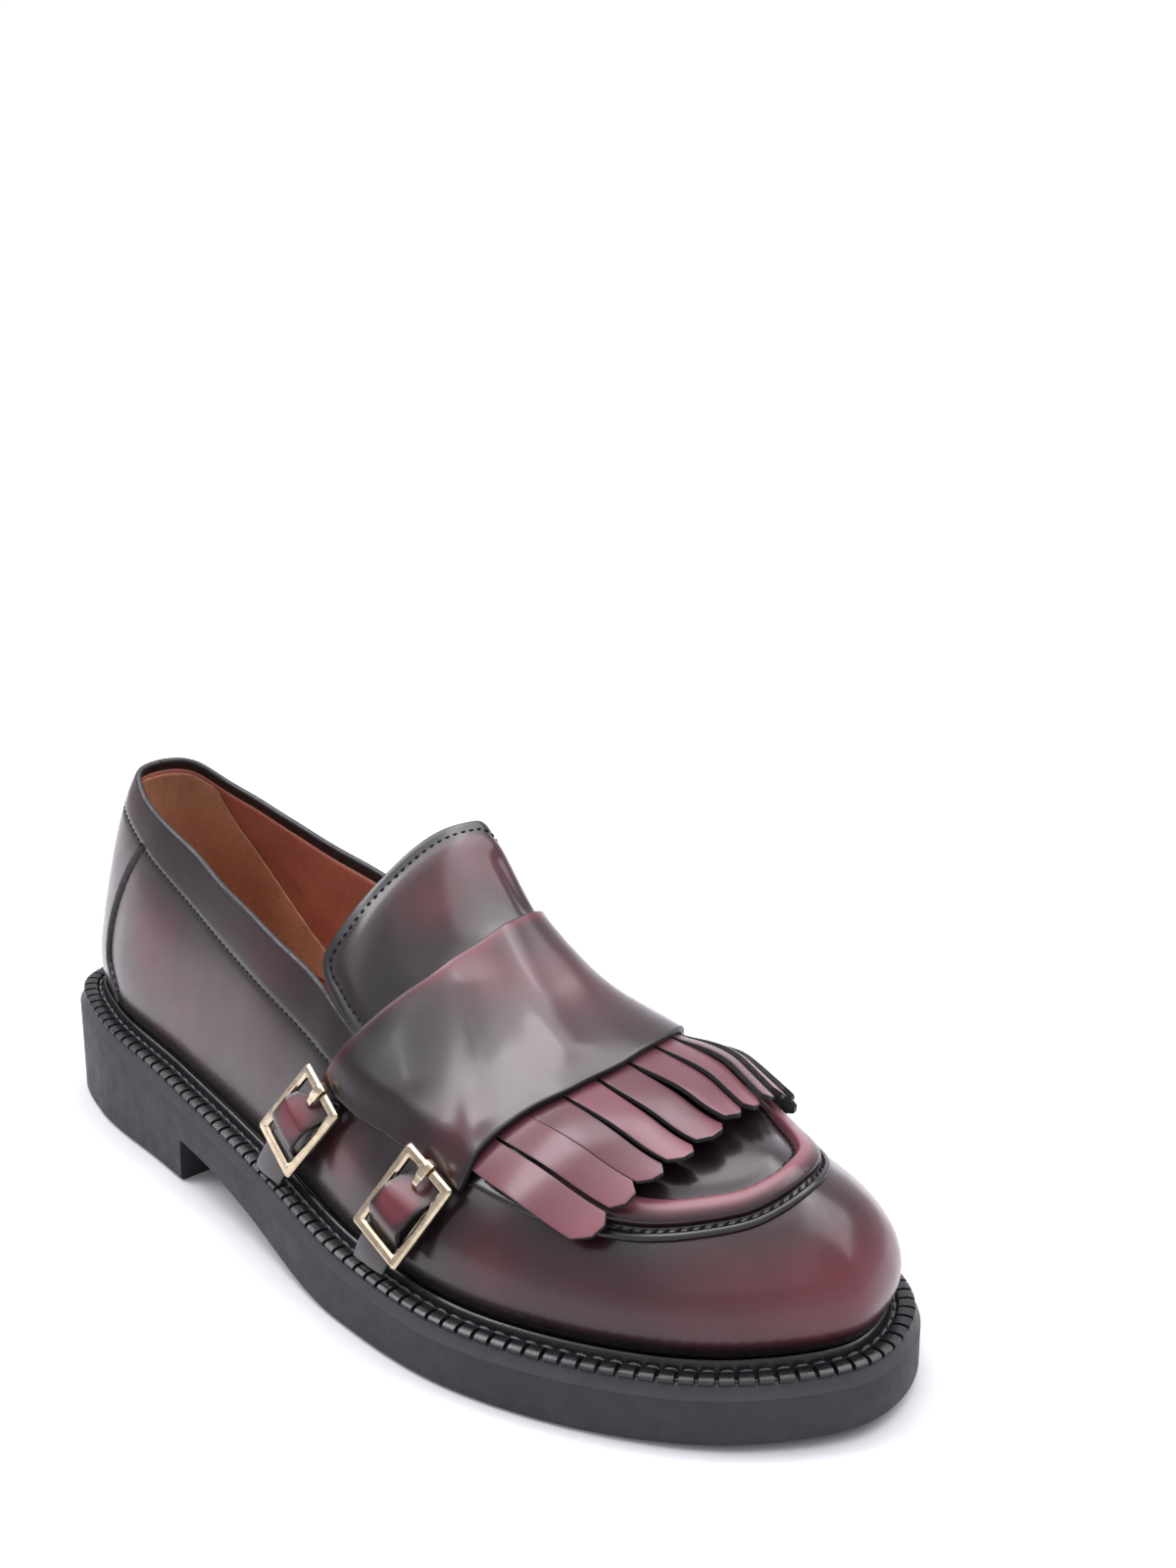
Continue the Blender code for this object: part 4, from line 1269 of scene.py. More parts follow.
@dataclass(frozen=True)
class Sock:
    """The tan sock over the insole board, a little dished under the heel."""

    inset: float = 0.0112
    dish: float = 0.0008

    def build(self) -> None:
        """The sock and board as one closed body."""
        shares = round_stations(90)
        plan = Outline(self.inset)
        lateral, medial = plan.by_x(-1, shares), plan.by_x(1, shares)
        loop = []
        under = [(t, 0.0) for t in even(9)]
        over = [(t, SIZES.insole_thick - self.dish * math.sin(math.pi * t) ** 0.7)
                for t in np.linspace(1.0, 0.0, 25)]
        for t, rise in under + over:
            row = lerp(lateral, medial, t)
            loop.append(np.c_[row, welt_top(row[:, 0]) + SIZES.gap + rise])
        sock = swept("sock", np.stack(loop, axis=1), (Finish.SOCK,))
        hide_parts("insole")


# ---- upper
@dataclass(frozen=True)
class OnLast:
    """A sub-assembly that is laid out on the last."""

    last: Last

    def laid(self, along: Array, around: Array, lift: Array | float) -> Pair:
        """Points at a height over the last, and its normals there."""
        return self.last.raised(along, around, lift), self.last.normal(along, around)


class Corner(NamedTuple):
    """A corner of the flange: its inset from the seam's edge and its share of the height."""

    inset: float
    share: float


@dataclass(frozen=True)
class Apron(OnLast):
    """The hand-sewn moccasin seam: a stitched flange, a padded ridge and the plug inside it."""

    flange_width: float = 0.0025
    flange_height: float = 0.0010
    ridge_width: float = 0.0050
    ridge_height: float = 0.0024
    plug_rise: float = 0.0007
    plug_slope: float = 0.005
    root: float = 0.0002
    fade_steps: float = 56.0
    whip_inset: float = 0.0016
    inner_inset: float = 0.0006

    EDGE = (
        Edge(0.1960, -0.0381), Edge(0.2060, -0.0376), Edge(0.2158, -0.0360), Edge(0.2326, -0.0293),
        Edge(0.2473, -0.0199), Edge(0.2573, -0.0087), Edge(0.2603, 0.0039), Edge(0.2559, 0.0161),
        Edge(0.2445, 0.0262), Edge(0.2300, 0.0332), Edge(0.2160, 0.0358), Edge(0.2050, 0.0360),
        Edge(0.1950, 0.0352))

    PATCHES = (
        Patch(0.230, -0.024, 0.042, 0.012, 0.50), Patch(0.248, -0.013, 0.042, 0.012, 0.55),
        Patch(0.255, 0.003, 0.042, 0.012, 0.40), Patch(0.248, 0.018, 0.042, 0.012, 0.50),
        Patch(0.230, 0.029, 0.042, 0.012, 0.40))

    FLANGE = (
        Corner(-0.0001, 0.55), Corner(0.0001, 0.90), Corner(0.0005, 1.05), Corner(0.0010, 0.95),
        Corner(0.0013, 0.62), Corner(0.0017, 0.58), Corner(0.0021, 0.80), Corner(0.0025, 0.60))
    PLUG_MIDDLE = Edge(0.205, 0.002)
    WHIP = Stitching(0.0021, 0.0005, 0.00030, slant=28.0, sink=0.00006)
    INNER_ROW = Stitching(0.0024, 0.0007, 0.00026)

    def line(self, inset: float, per_span: int = 26) -> Array:
        """The seam's outline seen from above.

        Args:
            inset: how far inwards it is moved.
            per_span: steps between two of its given points.

        Returns:
            (n, 2) points.
        """
        edge = smooth_curve(self.EDGE, per_span)
        run = unit(np.gradient(edge, axis=0))
        return edge + inset * np.c_[-run[:, 1], run[:, 0]]

    def plug(self, points: Array) -> Array:
        """How far the plug stands up inside the seam.

        Args:
            points: points of the upper.

        Returns:
            The height at each point.
        """
        inner = self.line(self.flange_width + self.ridge_width, 4)
        flat = points[..., :2].reshape(-1, 2)
        rise = self.plug_rise * ease(distance_to_line(flat, inner) / self.plug_slope)
        held = inside(flat, np.vstack([inner, self.PLUG_MIDDLE]))
        return np.where(held, rise, 0.0).reshape(points.shape[:-1])

    def build(self) -> None:
        """The flange and the ridge, then their two rows of stitches."""
        count = len(self.line(0.0))
        ends = np.minimum(np.arange(count), np.arange(count)[::-1]) / self.fade_steps
        share = lerp(0.30, 1.0, ease(ends))
        self.build_flange(share)
        self.build_ridge(share)
        inner = self.flange_width + self.ridge_width + self.inner_inset
        for name, inset, height, row in (("flange_stitches", self.whip_inset, 0.66, self.WHIP),
                                         ("plug_stitches", inner, 0.30, self.INNER_ROW)):
            along, around = self.last.find(self.line(inset), (0, 1))
            points, out = self.laid(along, around, height * self.flange_height * share)
            row.sew(name, points[4:-4], out[4:-4])

    def build_flange(self, share: Array) -> None:
        """The plug's cut edge, which stands up outside the ridge.

        Args:
            share: share of the full height at each ring.
        """
        profile = [(corner.inset, corner.share * self.flange_height) for corner in self.FLANGE]
        profile = [(0.0, self.root), *profile, (self.flange_width, self.root)]
        slots = np.array([1, 1] + [0] * (len(profile) - 2))
        tone = np.full((len(share), len(profile)), 0.05)
        made = swept("apron_flange", self.on_last(profile, share), (Finish.UPPER, Finish.EDGE),
                     slots=slots, tone=tone)

    def build_ridge(self, share: Array) -> None:
        """The padded ridge, brushed along its top.

        Args:
            share: share of the full height at each ring.
        """
        start, wide, high = self.flange_width, self.ridge_width, self.ridge_height
        humps = [(start + wide * (1.0 - math.cos(a)) / 2.0,
                  0.35 * high + 0.65 * high * math.sin(a) ** 0.5) for a in np.linspace(0.0, math.pi, 13)]
        humps = [(start, self.root), *humps, (start + wide + self.root, self.root)]
        points = self.on_last(humps, share)
        tone = brushed(points, self.PATCHES, 0.85)
        middle = np.array([bell(inset - start - 0.74 * wide, 0.34 * wide) for inset, _ in humps])
        ridge = swept("apron_ridge_roll", points, (Finish.FRINGE,), tone=tone * middle[None, :])
        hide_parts("apron_ridge")

    def on_last(self, profile: Sequence[tuple[float, float]], share: Array) -> Array:
        """Rings of points along the seam.

        Args:
            profile: inset from the seam's edge and height over the last, for each corner.
            share: share of the full height at each ring.

        Returns:
            (rings, corners, 3) points.
        """
        columns = []
        for inset, height in profile:
            along, around = self.last.find(self.line(inset), (0, 1))
            columns.append(self.last.raised(along, around, np.maximum(height * share, 0.0001)))
        return np.stack(columns, axis=1)


class Stations(NamedTuple):
    """Shares along the last, the throat's number among them, and how far past it each lies."""

    shares: Array
    throat: int
    ahead: Array


def meet_ends(first: Array, second: Array) -> None:
    """Moves two grids' first rows and last rows together, halfway."""
    for i in (0, -1):
        first[i] = second[i] = (first[i] + second[i]) / 2.0


@dataclass(frozen=True)
class Upper(OnLast):
    """Vamp, quarters and counter with their folded collar, the lining and the heel grip."""

    apron: Apron
    stations: int = 300
    rim_radius: float = 0.0009
    leather: float = 0.0008
    lining: float = 0.0005
    grip: float = 0.0006
    fold_depth: float = 0.0036
    seam_groove: float = 0.00018
    seam_band: float = 0.026
    band_end: float = 0.156
    toe_seam: float = 0.62
    toe_top: float = 0.5
    pink_depth: float = 0.0009
    pink_count: float = 26.0
    grip_top: float = 0.0060
    grip_low: float = 0.93
    cord: float = 0.0013
    cord_wave: float = 0.0003
    cord_height: float = 0.0010

    COUNTER_LATERAL = (Level(0.0380, 0.0800), Level(0.0300, 0.0670), Level(0.0255, 0.0550),
                       Level(0.0256, 0.0447), Level(0.0318, 0.0370), Level(0.0330, 0.0340))
    COUNTER_MEDIAL = (Level(0.0367, 0.0805), Level(0.0345, 0.0725), Level(0.0337, 0.0648),
                      Level(0.0340, 0.0500), Level(0.0360, 0.0340))
    COLLAR_ROW = Stitching(0.0016, 0.0007, 0.00027)

    PATCHES = (
        Patch(0.048, -0.026, 0.056, 0.020, 0.50), Patch(0.080, -0.030, 0.044, 0.021, 0.40),
        Patch(0.108, -0.027, 0.062, 0.018, 0.30), Patch(0.022, -0.014, 0.084, 0.014, 0.35),
        Patch(0.118, -0.033, 0.040, 0.016, 0.25), Patch(0.156, -0.042, 0.033, 0.009, 0.55),
        Patch(0.208, -0.044, 0.028, 0.013, 0.45), Patch(0.232, -0.036, 0.026, 0.016, 0.35),
        Patch(0.252, -0.024, 0.028, 0.016, 0.40), Patch(0.268, -0.010, 0.030, 0.016, 0.50),
        Patch(0.276, 0.006, 0.032, 0.016, 0.50), Patch(0.264, 0.026, 0.032, 0.018, 0.45),
        Patch(0.240, 0.038, 0.030, 0.020, 0.40), Patch(0.200, 0.042, 0.032, 0.020, 0.30),
        Patch(0.150, 0.034, 0.045, 0.022, 0.30), Patch(0.100, 0.030, 0.050, 0.024, 0.30),
        Patch(0.055, 0.030, 0.056, 0.022, 0.35), Patch(0.012, 0.002, 0.060, 0.018, 0.30),
        # The two patches below 0 paint shade: one under the front buckle by the strap's forward edge,
        # one at the lateral arm of the apron seam.
        Patch(0.236, -0.026, 0.039, 0.007, -0.20), Patch(0.190, -0.040, 0.034, 0.009, -0.15))

    def build(self) -> None:
        """The leather, its lining, the heel grip and the seams."""
        throat = float(self.last.at_x(SIZES.throat, -0.55))
        shares = even(self.stations)
        row = int(np.abs(shares - throat).argmin())
        shares[row] = throat
        ahead = np.clip((shares - throat) / (1.0 - throat), 0.0, 1.0)
        some = np.unique(np.r_[np.arange(0, len(shares), 3), row, len(shares) - 1])
        self.build_leather(Stations(shares, row, ahead))
        self.build_lining(Stations(shares[some], int(np.searchsorted(some, row)), ahead[some]))
        self.build_grip()
        self.build_seams()

    def levels(self, at: Stations, side: int, drop: float) -> Pair:
        """The collar seam and the topline, carried on towards the toe.

        Args:
            at: the stations to find them at.
            side: -1 for lateral, 1 for medial.
            drop: distance below the topline.

        Returns:
            The places around of both.
        """
        seam = self.last.level_around(at.shares, side, COLLAR_SEAM)
        top = self.last.level_around(at.shares, side, TOPLINE, drop)
        seam[at.throat:] = lerp(seam[at.throat], self.toe_seam, at.ahead[at.throat:])
        top[at.throat:] = lerp(top[at.throat], self.toe_top, at.ahead[at.throat:])
        return seam, top

    def spread(self, at: Stations, levels: Sequence[Array], side: int) -> Pair:
        """Places along and around of one side's grid, whose columns run at given levels."""
        return np.repeat(at.shares[:, None], len(levels), axis=1), side * np.stack(levels, axis=1)

    def open_quads(self, grid: Array, at: Stations, body: int, start: int) -> Array:
        """One side's quads without those over the opening.

        Args:
            grid: the side's points.
            at: its stations.
            body: how many columns reach up to the topline.
            start: number of its first point.

        Returns:
            (n, 4) point numbers.
        """
        rows, columns = grid.shape[:2]
        quads = grid_faces(rows, columns, start=start)
        behind = (quads[:, 0] - start) // columns < at.throat
        above = (quads[:, 0] - start) % columns >= body - 1
        return quads[~(behind & above)]

    def build_leather(self, at: Stations) -> None:
        """The outer leather, rolled over at the collar.

        Args:
            at: the stations it is laid out at.
        """
        near = np.array((-3.2, -2.0, -1.2, -0.6, 0.0, 0.6, 1.2, 2.0, 3.2)) * 0.006
        sides = []
        for side in (-1, 1):
            seam, top = self.levels(at, side, 0.0008)
            level = [lerp(1.0, seam + self.seam_band, t) for t in even(22)]
            level += [seam - step for step in near]
            level += [lerp(seam - self.seam_band, top, t) for t in even(10)]
            body = len(level)
            level += [lerp(top, 0.0, t) for t in even(44)[1:]]
            along, around = self.spread(at, level, side)
            flat, out = self.last.point(along, around), self.last.normal(along, around)
            lift = self.apron.plug(flat) + self.relief(flat)
            sides.append((flat + out * lift[..., None], out))
        meet_ends(sides[0][0], sides[1][0])
        points, faces, tones, start = [], [], [], 0
        for grid, out in sides:
            rim = self.roll(grid[:at.throat + 1], out[:at.throat + 1], body)
            faces.append(self.open_quads(grid, at, body, start))
            faces.append(grid_faces(*rim.shape[:2], start=start + grid[..., 0].size))
            start += grid[..., 0].size + rim[..., 0].size
            points += [grid.reshape(-1, 3), rim.reshape(-1, 3)]
            tones += [self.tone(grid).ravel(), self.tone(rim).ravel() * 0.35]
        slots = np.concatenate([np.full(len(f), i % 2) for i, f in enumerate(faces)])
        made = piece("upper_leather", np.concatenate(points), np.concatenate(faces),
                     (Finish.UPPER, Finish.EDGE), slots, np.concatenate(tones))
        thicken(made, self.leather, -1.0)
        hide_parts("upper")

    def roll(self, grid: Array, out: Array, body: int) -> Array:
        """The leather's turn over the collar's edge and down its inner side.

        Args:
            grid: points of one side, up to the throat.
            out: its normals.
            body: how many columns reach up to the topline.

        Returns:
            (rows, columns, 3) points of the turn.
        """
        edge, n = grid[:, body - 1], out[:, body - 1]
        up = unit(edge - grid[:, body - 3])
        up = unit(up - n * (up * n).sum(axis=1)[:, None])
        r = self.rim_radius
        rows = [edge]
        for a in np.linspace(0.0, math.pi, 9)[1:]:
            rows.append(edge - n * r + n * r * math.cos(a) + up * r * math.sin(a))
        for share in (0.25, 0.5, 0.75, 1.0):
            rows.append(edge - n * (2.0 * r + 0.0002 * share) - up * self.fold_depth * share)
        rows.append(edge - n * (2.0 * r - 0.0004) - up * (self.fold_depth + 0.0002))
        return np.stack(rows, axis=1)

    def over_seam(self, points: Array) -> Array:
        """Height of points over the collar seam."""
        return points[..., 2] - read(COLLAR_SEAM, "z", points[..., 0])

    def relief(self, points: Array) -> Array:
        """Height of the leather over the last: the collar band and its sewn groove.

        Args:
            points: points of the last.

        Returns:
            The height at each point.
        """
        high = self.over_seam(points)
        groove = -self.seam_groove * bell(high, 0.0007)
        puff = 0.00012 * ease(high / 0.006)
        return (groove + puff) * ease((self.band_end - points[..., 0]) / 0.006)

    def tone(self, points: Array) -> Array:
        """Where the leather is brushed to burgundy; it is dark along the welt and the seams, and patches
        below 0 paint shade.

        Args:
            points: points of the leather.

        Returns:
            The tone at each point.
        """
        tone = brushed(points, self.PATCHES, 0.24)
        height = points[..., 2] - welt_top(points[..., 0])
        tone *= ease((height - 0.001) / 0.006)
        behind = points[..., 0] < self.band_end
        return tone * (1.0 - 0.6 * bell(self.over_seam(points), 0.003) * behind)

    def build_lining(self, at: Stations) -> None:
        """The cognac lining, a closed shell inside the leather.

        Args:
            at: the stations it is laid out at.
        """
        grids = []
        for side in (-1, 1):
            _, top = self.levels(at, side, self.fold_depth)
            level = [lerp(0.995, top, t) for t in even(28)]
            body = len(level)
            level += [lerp(top, 0.0, t) for t in even(22)[1:]]
            along, around = self.spread(at, level, side)
            grids.append(self.last.raised(along, around, 0.0001 - SIZES.wall))
        meet_ends(*grids)
        faces = [self.open_quads(grid, at, body, i * grid[..., 0].size) for i, grid in enumerate(grids)]
        made = piece("collar_lining", np.array(grids), np.concatenate(faces), (Finish.LINING,))
        thicken(made, self.lining, 1.0)

    def build_grip(self) -> None:
        """The suede grip round the inside of the heel, with pinked edges."""
        columns, rows = 240, 40
        u = np.linspace(-1.0, 1.0, columns)
        teeth = 1.0 - 2.0 * np.abs((np.abs(u) * self.pink_count) % 1.0 - 0.5)
        grid, guide = [], []
        for t in even(rows):
            reach = 0.092 + 0.10 * t + 0.13 * t * t
            share = np.abs(u) * (reach + 0.0015 * (1.0 - abs((t * 13.0) % 1.0 - 0.5) * 2.0))
            line = np.zeros(columns)
            for side in (-1, 1):
                chosen = (u < 0.0) if side < 0 else (u >= 0.0)
                top = self.last.level_around(share[chosen], side, TOPLINE, self.grip_top)
                line[chosen] = side * lerp(top, self.grip_low, t)
            face, out = self.laid(share, line, -SIZES.wall - self.grip)
            face[:, 2] += self.pink_depth * teeth * (1.0 - t)
            grid.append(face)
            guide.append(-out)
        made = slab("heel_grip", np.array(grid), np.array(guide), self.grip,
                    (Finish.SUEDE, Finish.SUEDE, Finish.SUEDE), round_edge=0.0001)

    def build_seams(self) -> None:
        """The collar's stitches and the corded counter seams."""
        for side, name in ((-1, "lateral"), (1, "medial")):
            shares = np.linspace(0.002, float(self.last.at_x(0.150, side * 0.6)), 400)
            around = side * self.last.level_around(shares, side, COLLAR_SEAM)
            points, out = self.laid(shares, around, -self.seam_groove)
            self.COLLAR_ROW.sew(f"collar_stitches_{name}", points, out)
            table = self.COUNTER_LATERAL if side < 0 else self.COUNTER_MEDIAL
            path = smooth_curve(table, 12)
            along, around = self.last.find(path, (0, 2), side)
            self.build_cord(f"counter_seam_{name}", along, around)

    def build_cord(self, name: str, along: Array, around: Array) -> None:
        """A dark cord sunk in a seam.

        Args:
            name: the object's name.
            along: shares along the last of the cord's points.
            around: their places around it.
        """
        middle, out = self.last.point(along, around), self.last.normal(along, around)
        ahead = unit(np.gradient(middle, axis=0))
        aside = unit(np.cross(out, ahead))
        turns = np.linspace(0.0, 2.0 * np.pi, 10, endpoint=False)
        thick = self.cord + self.cord_wave * np.sin(np.arange(len(middle)) * 2.1)[:, None]
        rings = np.stack([middle + aside * thick * math.cos(a) + out * self.cord_height * math.sin(a)
                          for a in turns], axis=1)
        swept(name, rings, (Finish.EDGE,))


# ---- instep
class Lip(NamedTuple):
    """Where the tongue's free edge lies, at a place around the instep."""

    around: float
    x: float


@dataclass(frozen=True)
class Tongue(OnLast):
    """The raised instep piece with a stitched, rounded edge."""

    lift: float = 0.0004
    thick: float = 0.0015
    front: float = 0.173
    narrowing: float = 0.07
    stitch_inset: float = 0.0024
    seam_depth: float = 0.00022
    seam_width: float = 0.0007
    padding: float = 0.00025
    rows: int = 46
    columns: int = 90

    EDGE = (
        Lip(-0.565, 0.1420), Lip(-0.555, 0.1340), Lip(-0.520, 0.1300), Lip(-0.440, 0.1320),
        Lip(-0.300, 0.1360), Lip(-0.120, 0.1385), Lip(0.000, 0.1400), Lip(0.110, 0.1408),
        Lip(0.220, 0.1400), Lip(0.340, 0.1354), Lip(0.440, 0.1322), Lip(0.480, 0.1345),
        Lip(0.500, 0.1400))
    PATCHES = (
        Patch(0.149, -0.006, 0.087, 0.011, 0.50), Patch(0.146, 0.009, 0.098, 0.012, 0.50),
        # The last patch, below 0, paints shade on the tongue's lateral side, by the saddle's back edge.
        Patch(0.152, 0.018, 0.088, 0.010, 0.25), Patch(0.152, -0.022, 0.072, 0.010, -0.15))
    FOLDS = (
        Fold((0.1500, 0.0150, 0.0950), (0.1590, 0.0155, 0.0840), 0.0026, 0.0009),
        Fold((0.1430, 0.0040, 0.0980), (0.1580, -0.0130, 0.0760), 0.0090, -0.0005))

    ROW = Stitching(0.0016, 0.0008, 0.00032)

    def grid(self) -> Pair:
        """Lays out the tongue's face.

        Returns:
            Its points and the directions that it looks towards.
        """
        across = lerp(self.EDGE[0].around, self.EDGE[-1].around, round_stations(self.columns))
        back = read(self.EDGE, "x", across, by="around")
        t = even(self.rows)[:, None]
        x = lerp(back[None, :], self.front, t)
        around = across[None, :] * (1.0 - self.narrowing * t)
        along = self.last.at_x(x, around)
        return self.laid(along, around, self.lift + self.thick)

    def build(self) -> None:
        """The tongue and its stitches."""
        grid, out = self.grid()
        grid = grid - out * folded(grid, self.FOLDS)[..., None]
        edge = self.edge_line(grid)
        near = distance_to_line(grid.reshape(-1, 3), edge[::3]).reshape(grid.shape[:2])
        groove = self.seam_depth * bell(near - self.stitch_inset, self.seam_width)
        pad = self.padding * ease((near - self.stitch_inset) / 0.004)
        grid = grid + out * (pad - groove)[..., None]
        tone = brushed(grid, self.PATCHES, 0.24) * ease((near - 0.001) / 0.004)
        made = slab("tongue_leather", grid, out, self.thick,
                    (Finish.UPPER, Finish.EDGE, Finish.LINING), tone, 0.0004)
        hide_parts("tongue")
        self.sew(grid, out)

    def edge_line(self, grid: Array) -> Array:
        """The free edge: up one side, over the top and down the other."""
        return np.vstack([grid[::-1, 0], grid[0, 1:-1], grid[:, -1]])

    def sew(self, grid: Array, out: Array) -> None:
        """Stitches a little in from the edge.

        Args:
            grid: points of the tongue's face.
            out: directions that it looks towards.
        """
        edge = self.edge_line(grid)
        edge = resample(edge, np.linspace(0.0, run_along(edge)[-1], 400))
        flat, flat_out = grid.reshape(-1, 3), out.reshape(-1, 3)
        inward = unit(np.cross(flat_out[nearest(flat, edge)], unit(np.gradient(edge, axis=0))))
        if ((grid[-1].mean(axis=0) - edge) * inward).sum() < 0.0:
            inward = -inward
        line = edge + evened(inward, 12) * self.stitch_inset
        under = nearest(flat, line)
        normals = flat_out[under]
        line = line - normals * ((line - flat[under]) * normals).sum(axis=1)[:, None]
        self.ROW.sew("tongue_stitches", line[6:-6], normals[6:-6])


class Lap(NamedTuple):
    """Where the saddle's back and front edges lie, at a place around the instep."""

    around: float
    back: float
    front: float


class Hem(NamedTuple):
    """How far down each side the saddle reaches, from its back edge (0) to its front (1)."""

    share: float
    lateral: float
    medial: float


@dataclass(frozen=True)
class Saddle(OnLast):
    """The wide overlay over the instep that the fringe is cut from."""

    lift: float = 0.0022
    hem_lift: float = 0.0006
    thick: float = 0.0017
    border: float = 0.028
    lateral_slope: float = 0.10
    medial_slope: float = 0.07

    EDGES = (
        Lap(-0.70, 0.1435, 0.1955), Lap(-0.55, 0.1500, 0.1970), Lap(-0.42, 0.1550, 0.2010),
        Lap(-0.28, 0.1595, 0.2070), Lap(-0.12, 0.1615, 0.2100), Lap(0.05, 0.1605, 0.2090),
        Lap(0.20, 0.1575, 0.2055), Lap(0.35, 0.1520, 0.2000), Lap(0.50, 0.1450, 0.1940),
        Lap(0.70, 0.1340, 0.1860), Lap(0.80, 0.1283, 0.1818))
    HEMS = (
        Hem(0.00, -0.700, 0.770), Hem(0.25, -0.660, 0.765), Hem(0.50, -0.625, 0.742),
        Hem(0.75, -0.607, 0.738), Hem(1.00, -0.633, 0.742))
    PATCHES = (
        Patch(0.166, -0.010, 0.077, 0.011, 0.40), Patch(0.191, -0.033, 0.052, 0.010, 0.40),
        # The first patch below lies where the overhead highlight falls: partly brushed burgundy, partly
        # painted highlight.
        Patch(0.176, 0.002, 0.073, 0.015, 0.35), Patch(0.190, 0.010, 0.070, 0.015, 0.25),
        Patch(0.165, 0.022, 0.072, 0.014, 0.30), Patch(0.196, -0.012, 0.065, 0.010, 0.25),
        # The patch below 0 on the next line paints shade on the lateral side of the saddle.
        Patch(0.160, -0.030, 0.060, 0.012, -0.25))
    FOLDS = (
        Fold((0.1630, 0.0035, 0.0820), (0.1990, -0.0090, 0.0660), 0.0045, -0.0010),
        Fold((0.1680, -0.0120, 0.0730), (0.1925, -0.0310, 0.0530), 0.0048, -0.0009),
        Fold((0.1600, -0.0230, 0.0660), (0.1700, -0.0310, 0.0560), 0.0045, -0.0005),
        Fold((0.1720, 0.0150, 0.0740), (0.2050, 0.0030, 0.0640), 0.0032, -0.0003))

    BORDER_ROW = Stitching(0.0020, 0.0007, 0.00026)

    def hems(self, t: Array) -> Pair:
        """Places around of the lateral and the medial hem."""
        return read(self.HEMS, "lateral", t, "share"), read(self.HEMS, "medial", t, "share")

    def place(self, t: Array, u: Array) -> tuple[Array, Array, Array]:
        """Where a point of the saddle's face lies.

        Args:
            t: from its back edge (0) to its front edge (1).
            u: from its lateral hem (0) to its medial hem (1).

        Returns:
            Places along and around, and heights over the last.
        """
        lateral, medial = self.hems(t)
        around = lerp(lateral, medial, u)
        back, front = (read(self.EDGES, name, around, "around") for name in ("back", "front"))
        near_hem = np.minimum((around - lateral) / self.lateral_slope,
                              (medial - around) / self.medial_slope)
        lift = self.thick + lerp(self.hem_lift, self.lift, ease(near_hem))
        return self.last.at_x(lerp(back, front, t), around), around, lift

    def build(self) -> None:
        """The saddle and the stitches along its medial hem."""
        t, u = np.meshgrid(even(60), even(150), indexing="ij")
        grid, out = self.laid(*self.place(t, u))
        grid = grid - out * folded(grid, self.FOLDS)[..., None]
        tone = brushed(grid, self.PATCHES, 0.30)
        tone += 0.5 * bell(t, 0.04) + 0.08 * bell(u, 0.02) + 0.1 * bell(1.0 - u, 0.03)
        tone *= 1.0 - 0.8 * bell(1.0 - t, 0.02)
        made = slab("saddle_leather", grid, out, self.thick,
                    (Finish.UPPER, Finish.EDGE, Finish.LINING), tone, 0.0004)
        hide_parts("saddle")
        self.sew_border()

    def sew_border(self) -> None:
        """The row of stitches a little in from the medial hem."""
        t = np.linspace(0.03, 0.97, 80)
        lateral, medial = self.hems(t)
        along, around, lift = self.place(t, 1.0 - self.border / (medial - lateral))
        points, out = self.laid(along, around, lift + 0.0001)
        self.BORDER_ROW.sew("border_stitches", points, out)


class Cut(NamedTuple):
    """The fringe at a share of its width: where its root and its tips lie."""

    share: float
    root_around: float
    tip_around: float
    tip_x: float


class Tip(NamedTuple):
    """How one strip ends: how far each corner is cut back, its extra lift, curl and twist."""

    left: float
    right: float
    lift: float
    curl: float
    twist: float


